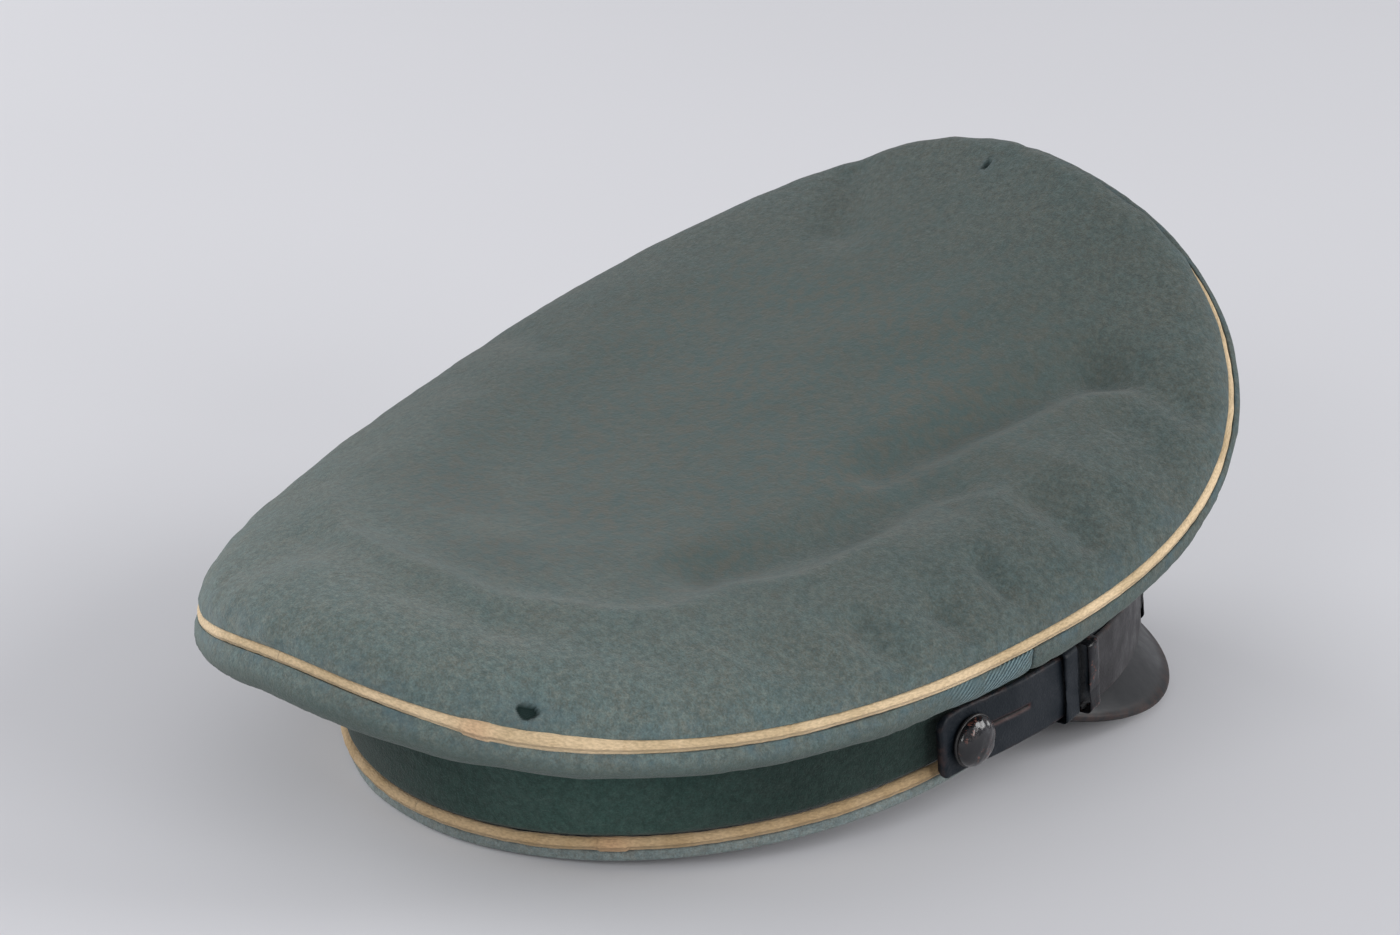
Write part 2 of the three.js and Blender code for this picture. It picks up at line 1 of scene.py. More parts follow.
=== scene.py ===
"""Peaked cap: the looks of every piece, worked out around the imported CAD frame.

Sizes are in millimetres in the cap's own level frame, as the cap is cut and sewn: the bottom edge of the
head band lies in the plane z = 0, the peak points to -Y and the wearer's left is +X. An angle round the cap
is 0 at the front, +90 degrees at the wearer's left and 180 at the rear. rest() carries points from there to
the resting frame in metres.
"""
import json
import math
from collections import namedtuple

import bpy
import numpy as np
from mathutils import Matrix, Vector

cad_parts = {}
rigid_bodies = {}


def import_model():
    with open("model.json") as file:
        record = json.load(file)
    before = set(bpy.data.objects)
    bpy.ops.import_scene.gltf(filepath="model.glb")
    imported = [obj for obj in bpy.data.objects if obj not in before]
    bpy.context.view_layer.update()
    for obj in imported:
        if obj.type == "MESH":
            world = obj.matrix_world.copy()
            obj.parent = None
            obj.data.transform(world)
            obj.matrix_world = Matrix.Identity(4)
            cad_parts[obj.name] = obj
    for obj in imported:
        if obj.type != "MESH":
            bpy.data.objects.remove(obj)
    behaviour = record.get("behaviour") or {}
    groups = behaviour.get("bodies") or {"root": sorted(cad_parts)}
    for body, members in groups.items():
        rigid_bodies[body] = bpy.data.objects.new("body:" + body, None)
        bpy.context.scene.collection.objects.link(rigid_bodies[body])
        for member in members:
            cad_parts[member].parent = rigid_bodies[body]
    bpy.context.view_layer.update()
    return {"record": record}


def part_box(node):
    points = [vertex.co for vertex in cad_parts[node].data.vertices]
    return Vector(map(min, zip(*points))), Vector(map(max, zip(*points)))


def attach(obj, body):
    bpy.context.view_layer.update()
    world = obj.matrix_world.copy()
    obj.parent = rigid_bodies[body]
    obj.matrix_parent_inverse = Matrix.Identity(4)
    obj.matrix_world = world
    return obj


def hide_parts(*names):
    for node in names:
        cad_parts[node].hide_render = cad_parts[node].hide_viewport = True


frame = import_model()

MM = 0.001

# ---- sizes of the CAD part (mm, degrees)

BAND_HALF_LENGTH = 99.5
BAND_HALF_WIDTH = 88.7
BAND_WALL = 2.4
BAND_HEIGHT = 42.0
EDGE_HEIGHT = 3.1
CLEARANCE = 0.35
CORD_RADIUS = 1.6
CORD_INSET = 0.4
LOWER_CORD_Z = EDGE_HEIGHT + CLEARANCE + CORD_RADIUS
UPPER_CORD_Z = BAND_HEIGHT + CLEARANCE + CORD_RADIUS

RIM_CENTRE_FORWARD = 5.3
RIM_HALF_LENGTH = 139.2
RIM_HALF_WIDTH = 112.5
RIM_SQUARENESS = 2.27
RIM_FRONT_FULLNESS = 0.115
RIM_FLAT_DEPTH = 5.4
RIM_FLAT_AT = math.radians(-10)
RIM_FLAT_SPREAD = math.radians(14.7)
CLOTH_WALL = 2.0
CLOTH_FACE_OUT = 0.9
SEAM_WIDTH = 3.0
SEAM_OUT = 0.6

# waves round the cap: the shares of the cosine and of the sine for 0, 1, 2 and more turns
RIM_HEIGHT = [(58.9, 0), (15.7, -0.6), (18.2, 2.3), (1.6, 0), (2.9, 0)]
ROLL_HEIGHT = [(13.5, 0), (-4.3, 2.3), (-2.2, -0.7), (-0.7, 0.5)]
ROLL_WIDTH = [(27.9, 0), (-12.9, 0), (-6, 0)]
ROLL_SWELLING = 2.5
ROLL_SWELLING_AT = math.radians(-19)
ROLL_SWELLING_SPREAD = math.radians(13)
ROLL_STEEP_HEIGHT = 7.0
ROLL_SHOULDER = 0.5
ROLL_CLIMB = 0.55
CENTRE_LIFT = 8.0
MIDDLE_FALL = 0.4
SIDE_SWELL_OUT = [(4.1, 0), (0.7, 0), (3, 0)]
SIDE_SWELL_DOWN = [(5.5, 0), (-3.8, 0), (-2.3, 0), (-0.8, 0)]

PEAK_HALF_ANGLE = math.radians(70.2)
PEAK_REACH = 32.4
PEAK_SLOPE = 0.6904
PEAK_ROOT_SHARE = 0.3
PEAK_SQUARENESS = 4.5
PEAK_CORNER_SWEEP = 1.5
PEAK_THICKNESS = 2.0
PEAK_SPREAD = 0.965

STRAP_HALF_LENGTH = 121.0
STRAP_HALF_WIDTH = 92.0
STRAP_SQUARENESS = 2.3
STRAP_HEIGHT = 17.6
STRAP_THICKNESS = 1.6
STRAP_SIDE_Z = 4.2
STRAP_SAG = 12.5
STRAP_END_ANGLE = math.radians(94)
OUTER_STRAP_END_ANGLE = math.radians(64.9)
LOOP_CLEARANCE = 0.55
LOOP_THICKNESS = 1.3

# a loop round the strap: its angle, width and front thickness, the layers in it, and how square it is cut
Loop = namedtuple("Loop", "angle width front layers squareness")
KEEPER = Loop(70.3, 6.0, LOOP_THICKNESS, 1, 4)
BUCKLE = Loop(66.5, 5.4, LOOP_THICKNESS, 2, 3)
SLIDE = Loop(36.3, 5.6, 3.1, 2, 4)

BUTTON_ANGLE = math.radians(89)
BUTTON_Z = 12.2
BUTTON_RADIUS = 7.0
BUTTON_DOME = 4.4
BUTTON_RIM = 1.1
SHANK_RADIUS = 2.0

# ---- small shapes the CAD part leaves out (mm)

# where the two ends of each piping cord overlap, and how far they do
CROWN_CORD_JOINT = math.radians(-149.8)
UPPER_CORD_JOINT = math.radians(170)
LOWER_CORD_JOINT = math.radians(-144.6)
JOINT_HALF_LENGTH = 3.7
JOINT_SWELLING = 0.12
# the crown's cord is fuller beside its joint
FULL_STRETCH_SWELLING = 0.42
FULL_STRETCH_FROM_JOINT = 13.0
FULL_STRETCH_LENGTH = 22.0
FULL_STRETCH_PROUD = 1.8

STRAP_CORNER = 3.0
STRAP_BOW = 0.2
FLARE_DEPTH, FLARE_FROM_END, FLARE_WIDTH = 0.35, 1.4, 1.3
SLIT_FROM_END = 9.0
SLIT_LENGTH = 24.5
SLIT_ABOVE_BUTTON = 1.5
SLIT_DEPTH, SLIT_WIDTH = 0.9, 0.42
LIP_HEIGHT, LIP_FROM_SLIT, LIP_WIDTH = 0.12, 0.95, 0.5

# the side seams: the cloth turns in sharply over a short reach, and dips over a wider one
SIDE_SEAM_GAP = 0.12
SIDE_SEAM_DEPTH, STITCH_REACH = 0.6, 0.5
STITCH_DIP, STITCH_DIP_WIDTH = 0.2, 3.0
TWILL_SHOWS_WITHIN = 18.0
TWILL_PITCH = 1.35

# distances from the rim at which the top cloth's slack and its browner middle begin and are full
SLACK_FROM, SLACK_TO = 4, 16
MIDDLE_FROM, MIDDLE_TO = 8, 75
PUCKER_WIDTH = 9.0
TOP_SEAM_SHOWS_WITHIN = 3.6

CORD_SWELLING = 1.04
DOME_INSET, BUTTON_ROLL_RADIUS = 0.35, 0.5

# soft noise of each surface: its height, the length of its waves and the seed of its draws, to which a
# piece may add its own
Ripple = namedtuple("Ripple", "height size seed")
TOP_PUCKER, TOP_SLACK, TOP_NAP = [Ripple(0.32, 13, 3)], [Ripple(0.16, 30, 4)], [Ripple(0.05, 5, 5)]
SIDE_SLACK, SIDE_NAP = [Ripple(0.2, 34, 31), Ripple(0.1, 14, 32)], [Ripple(0.07, 3.5, 33)]
CORD_LUMPS, CORD_WANDER = [Ripple(0.03, 16, 0), Ripple(0.03, 4, 2)], [Ripple(0.1, 30, 1)]
BAND_WAVER = [Ripple(0.28, 26, 0), Ripple(0.06, 7, 1)]
STRAP_WAVER = [Ripple(0.16, 24, 0), Ripple(0.05, 6, 1)]
LOOP_WEAR = [Ripple(0.04, 5, 0)]
DOME_HAMMERING = [Ripple(0.075, 2.6, 0)]
HOLE_RAGGEDNESS = [Ripple(0.09, 2.4, 21)]
RIPPLE_WAVES = 28

# steps of each surface: the first along the piece or round the cap, the others across it
TOP_STEPS, ROLL_ROWS, MIDDLE_ROWS, LINING_ROWS = 500, 58, 64, 14
SIDE_STEPS, SIDE_ROWS, SIDE_LINING_ROWS = 300, 56, 22
TURNED_EDGE_ROWS = 6
CORD_STEPS, CORD_SIDES = 1500, 20
BAND_STEPS, BAND_ROWS, BAND_LINING_ROWS = 480, 34, 8
PEAK_STEPS, PEAK_ROWS, PEAK_RIM_ROWS = 240, 44, 14
STRAP_STEPS, STRAP_ROWS = 720, 52
LOOP_STEPS, LOOP_CORNER_STEPS, LOOP_SIDES = 120, 7, 24
BUTTON_STEPS, DOME_ROWS, BUTTON_ROLL_ROWS = 96, 30, 12

# ---- folds, dents and damage of the cloth (mm)

# a fold sinks the top cloth along a line in plan
Fold = namedtuple("Fold", "from_x from_y to_x to_y width depth")
FOLDS = [
    Fold(-50, 40, -69, -20, 10, 3.5),
    Fold(-47, -22, -63, -88, 9, 3.5),
    Fold(-63, -88, -90, -92, 7, 3.5),
    Fold(-84, -76, -101, -72, 8, 2.5),
    Fold(-90, -38, -109, -36, 6, 2.5),
    Fold(-93, 9, -107, 11, 6, 1.2),
    Fold(36, 98, 34, 112, 12, 2),
    Fold(92, -24, 72, -17, 7, 1.5),
    Fold(55, -122, 38, -98, 8, 3),
]

# small folds, too narrow for the CAD part
CREASES = [
    Fold(-99, 12, -109, 11, 3.6, 2.6),
    Fold(-95, -8, -110, -7, 3.6, 3.0),
    Fold(-87, -34, -111, -34, 3.5, 1.2),
    Fold(-101, -50, -113, -46, 3.5, 1.2),
    Fold(-91, 31, -103, 30, 5, 3.0),
    Fold(-82, 55, -94, 49, 8, 2.2),
    Fold(-13, 107, -38, 98, 6, 0.9),
    Fold(-38, 98, -72, 76, 6, 1.0),
    Fold(88, 4, 72, 12, 5, 0.8),
    Fold(80, 44, 68, 52, 6, 0.9),
]

# a crest is a soft edge along a chain of points in plan, each with its own height over the cloth at its
# feet; the cloth sinks over one width to the right of the way along the chain and over another to its left
Crest = namedtuple("Crest", "points right left")
CRESTS = [
    Crest([(60, 72, 1.0), (40, 84, 1.8), (26, 91, 2.0), (-2, 95, 1.8), (-18, 93, 1.8), (-29, 90, 2.0),
           (-38, 83, 2.2), (-48, 77, 2.6), (-54, 70, 3.0), (-58, 63, 3.2), (-61, 54, 3.2), (-61, 43, 3.4),
           (-66, 36, 3.8), (-70, 28, 4.0), (-72, 18, 4.2), (-72, 7, 4.2), (-70, -9, 4.2), (-71, -20, 3.6),
           (-78, -26, 2.4), (-86, -31, 1.2), (-93, -34, 0)], 11, 4.5),
    Crest([(42, 115, 0.6), (34, 118, 1.0), (6, 126, 1.3), (-7, 126, 1.0), (-20, 122, 0.5),
           (-34, 116, 0)], 7, 7),
    Crest([(-58, -30, 1.2), (-62, -40, 2.4), (-63, -50, 2.8), (-65, -62, 2.8), (-68, -71, 2.8),
           (-73, -79, 2.4), (-78, -88, 1.0)], 9, 4),
    Crest([(60, 72, 2), (44, 82, 4), (28, 90, 5), (0, 95, 5), (-20, 92, 4), (-34, 87, 2.5),
           (-48, 77, 0)], 12, 12),
    Crest([(-64, -46, 0.8), (-71, -46, 1.4), (-83, -50, 2.2), (-95, -52, 2.2), (-103, -51, 1.4),
           (-108, -50, 0.3)], 6, 8),
]
CREST_FOOT = 17.0
CREST_ROUNDING = 2.4
FOLD_STARTS = 10.0

# moth holes in the top cloth: place in plan, half sizes, turn in degrees
Hole = namedtuple("Hole", "x y half_long half_wide turn")
HOLES = [
    Hole(-60.8, 111.0, 2.7, 1.5, 46),
    Hole(12, -129, 1.1, 1.0, 0),
]
HOLE_DEPTH = 1.5

# ---- number helpers


def waves(table, angle, inward=1.0):
    """Sum of the waves of a table. The share inward is 1 at the rim and 0 in the middle, and dims each wave
    by its power."""
    total = 0
    for turns, (cos, sin) in enumerate(table):
        total = total + inward**turns * (cos * np.cos(turns * angle) + sin * np.sin(turns * angle))
    return total


def bell(distance, width):
    """Bell curve: 1 at no distance, exp(-1) at one width."""
    return np.exp(-((distance / width) ** 2))


def smooth_step(low, high, value):
    """Cubic step from 0 at low to 1 at high."""
    t = np.clip((value - low) / (high - low), 0, 1)
    return t * t * (3 - 2 * t)


def turn_from(start, angle):
    """The angle less the start, brought to half a turn either way."""
    off = angle - start
    return np.arctan2(np.sin(off), np.cos(off))


def fallen_back(radius, from_edge):
    """How far an edge rounded to a quarter circle has fallen back at each distance from it."""
    return radius - np.sqrt(np.maximum(radius**2 - np.maximum(radius - from_edge, 0) ** 2, 0))


def ripples(points, size, seed):
    """Soft noise of about -1 to 1: the sum of sine waves in random directions, each about size long."""
    random = np.random.default_rng(seed)
    heading = random.normal(size=(RIPPLE_WAVES, 3))
    heading /= np.linalg.norm(heading, axis=1, keepdims=True)
    number = 2 * np.pi / (size * random.uniform(0.7, 1.6, RIPPLE_WAVES))
    phase = random.uniform(0, 2 * np.pi, RIPPLE_WAVES)
    total = np.zeros(points.shape[:-1])
    for k in range(RIPPLE_WAVES):
        total += np.sin(points @ (heading[k] * number[k]) + phase[k])
    return total * math.sqrt(2 / RIPPLE_WAVES) * 0.7


def rippled(points, kinds, seed=0):
    """Sum of several kinds of soft noise, in mm."""
    return sum(k.height * ripples(points, k.size, k.seed + seed) for k in kinds)


def bezier(controls, t):
    """Bezier curve through its first and last control values, drawn towards those between."""
    n = len(controls) - 1
    return sum(math.comb(n, k) * t**k * (1 - t) ** (n - k) * c for k, c in enumerate(controls))


def superellipse_reach(c, s, power):
    """Distance to a superellipse of half axes 1 along the direction with this cosine and sine."""
    return (np.abs(c) ** power + np.abs(s) ** power) ** (-1 / power)


# ---- the level frame and the frame at rest

band_mount = next(m for m in frame["record"]["mounts"] if m["name"] == "band_underside")
PITCH = math.asin(-band_mount["axis"][1])
REST_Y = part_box("band_edge")[1].y / MM - EDGE_HEIGHT * math.sin(PITCH)


def rest(points):
    """Points of the level frame, in mm, pitched about the rear of the band's bottom edge, in metres."""
    x, y, z = points[..., 0], points[..., 1] - BAND_HALF_LENGTH, points[..., 2]
    c, s = math.cos(PITCH), math.sin(PITCH)
    return np.stack([x, y * c + z * s + REST_Y, z * c - y * s], -1) * MM


# a section of the cap: a point in plan, the outward direction there, a height, the distance to the middle
Section = namedtuple("Section", "x y out_x out_y z radius")


def in_section(section, out, up):
    """Points of the level frame that lie out and up from the section's own point."""
    x = section.x + section.out_x * out
    y = section.y + section.out_y * out
    return np.stack(np.broadcast_arrays(x, y, section.z + up), -1)


def moved_along(points, section, along):
    """Points moved sideways from their section, square to its outward direction."""
    points[..., 0] -= section.out_y * along
    points[..., 1] += section.out_x * along
    return points


def oval_section(angle, half_width, half_length, squareness, z):
    """Section of a superellipse at a height, with the outward direction square to it."""
    c, s = np.cos(angle), np.sin(angle)
    reach = superellipse_reach(c, s, squareness)
    x, y = half_width * s * reach, -half_length * c * reach
    nx = np.sign(x) * (np.abs(x) / half_width) ** (squareness - 1) / half_width
    ny = np.sign(y) * (np.abs(y) / half_length) ** (squareness - 1) / half_length
    length = np.hypot(nx, ny)
    return Section(x, y, nx / length, ny / length, z, np.hypot(x, y))


def band_section(angle):
    """Section of the band's outer face, an ellipse, from its bottom edge."""
    return oval_section(angle, BAND_HALF_WIDTH, BAND_HALF_LENGTH, 2, np.zeros_like(angle))


def strap_section(angle):
    """Section of the strap's inner face, from the strap's lower edge, which sags towards the front."""
    z = STRAP_SIDE_Z - STRAP_SAG * np.clip(np.cos(angle), 0, None)
    return oval_section(angle, STRAP_HALF_WIDTH, STRAP_HALF_LENGTH, STRAP_SQUARENESS, z)


def rim_section(angle):
    """Section of the crown's rim: a superellipse, fuller in front and slightly flat there, at its height."""
    c, s = np.cos(angle), np.sin(angle)
    reach = superellipse_reach(c, s, RIM_SQUARENESS)
    flat = RIM_FLAT_DEPTH * bell(turn_from(RIM_FLAT_AT, angle), RIM_FLAT_SPREAD) * c
    sideways = RIM_HALF_WIDTH * s * reach * (1 + RIM_FRONT_FULLNESS * c)
    forward = RIM_HALF_LENGTH * c * reach - flat
    radius = np.hypot(sideways, forward)
    out_x, out_y = sideways / radius, -forward / radius
    return Section(sideways, -RIM_CENTRE_FORWARD - forward, out_x, out_y, waves(RIM_HEIGHT, angle), radius)


def peak_z(share, reach):
    """Height of the peak's upper face: a straight share of the drop, and one that grows with the square."""
    curved = PEAK_ROOT_SHARE * share + (1 - PEAK_ROOT_SHARE) * share**2
    return -CLEARANCE - PEAK_SLOPE * reach * curved


# ---- meshes from grids of points


def grid_normals(points, closed, way):
    """Unit normals of a grid of points, on the side that the way points to: the cross product of its two
    differences. The first way of the grid may close."""
    if closed:
        along = np.roll(points, -1, 0) - np.roll(points, 1, 0)
    else:
        along = np.gradient(points, axis=0)
    normal = np.cross(along, np.gradient(points, axis=1))
    normal /= np.maximum(np.linalg.norm(normal, axis=-1, keepdims=True), 1e-9)
    return normal * np.sign((normal * way).sum(-1).mean())


def grid_faces(rows, columns, wrap_rows, wrap_columns):
    """Quads of a grid whose vertices are numbered row by row."""
    r = np.arange(rows if wrap_rows else rows - 1)
    c = np.arange(columns if wrap_columns else columns - 1)
    r, c = (m.ravel() for m in np.meshgrid(r, c, indexing="ij"))
    s, d = (r + 1) % rows, (c + 1) % columns
    return np.stack([r * columns + c, s * columns + c, s * columns + d, r * columns + d], -1)


def pole_faces(rows, columns):
    """Quads of a grid that closes on itself, whose first and last columns are one vertex each: the poles."""
    number = np.arange(rows * columns).reshape(rows, columns)
    number[:, 0], number[:, -1] = number[0, 0], number[0, -1]
    return number.ravel()[grid_faces(rows, columns, True, False)]


def enclosed_volume(points, quads):
    """Volume inside a closed surface of quads; it is negative where they face inwards."""
    a, b, c, d = (points[quads[:, k]] for k in range(4))
    return (a * (np.cross(b, c) + np.cross(c, d))).sum() / 6


def linked(name, data):
    """A new object, in the scene."""
    made = bpy.data.objects.new(name, data)
    bpy.context.scene.collection.objects.link(made)
    return made


def make_piece(name, points, quads, uv, marks):
    """A mesh object from vertices in the level frame, quads, a UV pair and named numbers for each vertex.
    Quads with a repeated vertex become triangles, and the whole is turned to face outwards."""
    used, number = np.unique(quads.ravel(), return_inverse=True)
    points, quads = points[used], number.reshape(-1, 4)
    if enclosed_volume(points, quads) < 0:
        quads = quads[:, ::-1]
    repeated = quads == np.roll(quads, -1, 1)
    loops = quads[~repeated]
    sizes = 4 - repeated.sum(1)
    mesh = bpy.data.meshes.new(name)
    mesh.vertices.add(len(points))
    mesh.vertices.foreach_set("co", rest(points).astype(np.float32).ravel())
    mesh.loops.add(len(loops))
    mesh.loops.foreach_set("vertex_index", loops.astype(np.int32))
    mesh.polygons.add(len(quads))
    mesh.polygons.foreach_set("loop_start", (np.cumsum(sizes) - sizes).astype(np.int32))
    mesh.polygons.foreach_set("use_smooth", np.ones(len(quads), bool))
    mesh.update(calc_edges=True)
    layer = mesh.uv_layers.new(name="cut")
    layer.data.foreach_set("uv", (uv[used][loops] * MM).astype(np.float32).ravel())
    for mark, values in marks.items():
        attribute = mesh.attributes.new(mark, "FLOAT", "POINT")
        attribute.data.foreach_set("value", values[used].astype(np.float32))
    return linked(name, mesh)


def arc_lengths(points):
    """UV pairs for a grid: the mean distance along its first way, and the distance along its second."""
    along = np.linalg.norm(np.diff(points, axis=0), axis=-1).mean(1)
    across = np.linalg.norm(np.diff(points, axis=1), axis=-1)
    u = np.concatenate([[0], np.cumsum(along)])[:, None]
    v = np.concatenate([np.zeros((len(points), 1)), np.cumsum(across, 1)], 1)
    return np.stack(np.broadcast_arrays(u, v), -1)


def ring_piece(name, rings, closed, marks=None):
    """A solid through closed rings of points, one for each step along it. It closes on itself, or each end
    is closed by quads between the ring's first half and its second half taken backwards."""
    steps, sides = rings.shape[:2]
    quads = grid_faces(steps, sides, closed, True)
    if not closed:
        k = np.arange(sides // 2 - 1)
        cap = np.stack([k, k + 1, sides - 2 - k, sides - 1 - k], -1)
        quads = np.concatenate([quads, cap, (steps - 1) * sides + cap[:, ::-1]])
    seamed = np.concatenate([rings, rings[:, :1]], 1)
    uv = arc_lengths(seamed)[:, :-1].reshape(-1, 2)
    flat_marks = {mark: np.broadcast_to(v, (steps, sides)).ravel() for mark, v in (marks or {}).items()}
    return make_piece(name, rings.reshape(-1, 3), quads, uv, flat_marks)


# ---- the top cloth


def leaving_rim(out, up):
    """The unit direction in which a cloth leaves the rim's cord, and the outward side of that cloth."""
    length = np.hypot(out, up)
    travel = out / length, up / length
    return travel, (np.abs(travel[1]), np.abs(travel[0]))


# the edge of a cloth beside the rim's cord, turned under: distances along its travel and to its outside
TURNED_EDGE = [(1.72, -1.1), (1.62, 0.9), (CORD_RADIUS + CLEARANCE, CLOTH_FACE_OUT)]


def turned_edge(travel, side, t):
    """Quadratic curve round the turned edge of a cloth, from its raw edge inside to its outer face."""
    along, outside = (bezier(controls, t) for controls in zip(*TURNED_EDGE))
    return travel[0] * along + side[0] * outside, travel[1] * along + side[1] * outside


def edge_rows(rim, travel, side):
    """Rows of points round the turned edge of a cloth, short of its outer face."""
    t = np.linspace(0, 1, TURNED_EDGE_ROWS)[None, :-1]
    return in_section(rim, *turned_edge(travel, side, t))


def along_line(x, y, from_x, from_y, to_x, to_y):
    """For points in plan: the nearest share of the way along a line, the distance to it, and whether a point
    lies to the left of the way along it."""
    run_x, run_y = to_x - from_x, to_y - from_y
    t = np.clip(((x - from_x) * run_x + (y - from_y) * run_y) / (run_x**2 + run_y**2), 0, 1)
    off_x, off_y = x - from_x - t * run_x, y - from_y - t * run_y
    return t, np.hypot(off_x, off_y), run_x * off_y > run_y * off_x


def warped(x, y, amount, size, seed):
    """Plan positions moved about a little by soft noise, so that straight folds come out natural."""
    plan = np.stack([x, y, np.zeros_like(x)], -1)
    return x + amount * ripples(plan, size, seed), y + amount * ripples(plan, size, seed + 1)


def fold_depth(x, y):
    """Depth of all folds at places in plan: each fold is a bell curve of the distance to its line. The crests
    sink the cloth beside them: by the height times a bell curve less exp(-distance / width), rounded on top,
    of the distance to the nearest part of the chain."""
    x, y = warped(x, y, 0.8, 34, 11)
    depth = np.zeros_like(x)
    for f in FOLDS + CREASES:
        depth += f.depth * bell(along_line(x, y, f.from_x, f.from_y, f.to_x, f.to_y)[1], f.width)
    for crest in CRESTS:
        nearest, lift = np.full_like(x, 1e9), np.zeros_like(x)
        for (ax, ay, a_height), (bx, by, b_height) in zip(crest.points, crest.points[1:]):
            t, away, on_left = along_line(x, y, ax, ay, bx, by)
            soft = np.sqrt(away**2 + CREST_ROUNDING**2) - CREST_ROUNDING
            edge = np.exp(-soft / np.where(on_left, crest.left, crest.right)) - bell(away, CREST_FOOT)
            lift = np.where(away < nearest, (a_height + (b_height - a_height) * t) * edge, lift)
            nearest = np.minimum(nearest, away)
        depth -= lift
    return depth


def top_line(angle, roll_t, middle_t):
    """Outer face of the top cloth at each angle: a cubic curve climbs from the rim to the ridge of the roll,
    then the cloth sinks to the middle as a bell curve. Both are heights over a saddle like a soap film that
    hangs from the rim, and the folds are sunk into them. Returns points, inset from the rim, and the rim."""
    rim = rim_section(angle)
    swelling = ROLL_SWELLING * bell(turn_from(ROLL_SWELLING_AT, angle), ROLL_SWELLING_SPREAD)
    ridge, width = waves(ROLL_HEIGHT, angle) + swelling, waves(ROLL_WIDTH, angle)
    climb = np.pi / 2 * (1 - bell(ridge, ROLL_STEEP_HEIGHT))
    travel, side = leaving_rim(-np.cos(climb), np.sin(climb))
    start = turned_edge(travel, side, 1.0)
    reach = ROLL_CLIMB * ridge
    outs = start[0], start[0] + travel[0] * reach, -width * (1 - ROLL_SHOULDER), -width
    ups = start[1], start[1] + travel[1] * reach, ridge, ridge
    middle_out = -(width + (rim.radius - width) * middle_t)
    middle_up = CENTRE_LIFT + (ridge - CENTRE_LIFT) * bell(middle_t, MIDDLE_FALL)
    out = np.concatenate([bezier(outs, roll_t), middle_out], 1)
    up = np.concatenate([bezier(ups, roll_t), middle_up], 1)
    inward = 1 - np.maximum(-out - SEAM_WIDTH, 0) / (rim.radius - SEAM_WIDTH)
    saddle = waves(RIM_HEIGHT, angle, inward) - rim.z
    points = in_section(rim, out, up + saddle)
    sunk = np.clip(-out / FOLD_STARTS, 0, 1) * fold_depth(points[..., 0], points[..., 1])
    points[..., 2] -= sunk
    return points, -out, rim, travel, side


def hole_share(points):
    """1 inside a moth hole, 0 a little outside, with a ragged edge; and a wider halo round it."""
    inside, halo = np.zeros(points.shape[:-1]), np.zeros(points.shape[:-1])
    ragged = rippled(points, HOLE_RAGGEDNESS)
    for hole in HOLES:
        turn = math.radians(hole.turn)
        dx, dy = points[..., 0] - hole.x, points[..., 1] - hole.y
        along = (dx * math.cos(turn) + dy * math.sin(turn)) / hole.half_long
        across = (dy * math.cos(turn) - dx * math.sin(turn)) / hole.half_wide
        away = np.hypot(along, across) + ragged
        inside = np.maximum(inside, 1 - smooth_step(0.9, 1.06, away))
        halo = np.maximum(halo, bell(away, 2.2))
    return inside, halo


def gathered_angles(count):
    """Angles round the cap, closer together by the moth holes: the inverse of a density's running sum."""
    fine = np.linspace(-np.pi, np.pi, 20001)
    density = np.ones_like(fine)
    for hole in HOLES:
        at = math.atan2(hole.x / RIM_HALF_WIDTH, -hole.y / RIM_HALF_LENGTH)
        density += 4 * bell(turn_from(at, fine), 0.05)
    total = np.concatenate([[0], np.cumsum((density[1:] + density[:-1]) / 2)])
    return np.interp(np.linspace(0, total[-1], count, endpoint=False), total, fine)[:, None]


def top_cloth():
    """The top cloth: a closed shell from the pole of its inner face out to the rim, round the turned edge and
    back over the roll to the pole of its outer face."""
    angle = gathered_angles(TOP_STEPS)
    roll_t = np.linspace(0, 1, ROLL_ROWS)[None, :]
    middle_t = np.linspace(0, 1, MIDDLE_ROWS)[None, 1:]
    outer, inset, rim, travel, side = top_line(angle, roll_t, middle_t)
    inside, halo = hole_share(outer)
    up = (0.0, 0.0, 1.0)
    normal = grid_normals(outer, True, up)
    pucker = bell(inset, PUCKER_WIDTH) * rippled(outer, TOP_PUCKER)
    slack = smooth_step(SLACK_FROM, SLACK_TO, inset) * rippled(outer, TOP_SLACK)
    lift = pucker + slack + rippled(outer, TOP_NAP)
    fading_to_pole, held_at_edge = np.linspace(1, 0, 12), [0.3, 0.7]
    lift[:, -len(fading_to_pole):] *= fading_to_pole
    lift[:, : len(held_at_edge)] *= held_at_edge
    outer = outer + normal * (lift - HOLE_DEPTH * inside)[..., None]
    coarse_t = np.linspace(0, 1, LINING_ROWS)[None, :]
    inner = top_line(angle, coarse_t, coarse_t[:, 1:])[0]
    inner_normal = grid_normals(inner, True, up)
    inner_normal[:, -1] = up
    inner = inner - inner_normal * CLOTH_WALL
    edge = edge_rows(rim, travel, side)
    rows = np.concatenate([inner[:, ::-1], edge, outer], 1)
    steps, columns = rows.shape[:2]
    seam, middle = bell(inset, TOP_SEAM_SHOWS_WITHIN), smooth_step(MIDDLE_FROM, MIDDLE_TO, inset)
    shown = {"hole": inside, "halo": halo, "seam": seam, "middle": middle}
    under = np.zeros((steps, columns - outer.shape[1]))
    marks = {mark: np.concatenate([under + (mark == "seam"), v], 1).ravel() for mark, v in shown.items()}
    points = rows.reshape(-1, 3)
    return make_piece("top_cloth", points, pole_faces(steps, columns), points[:, :2], marks)


# ---- the side cloth


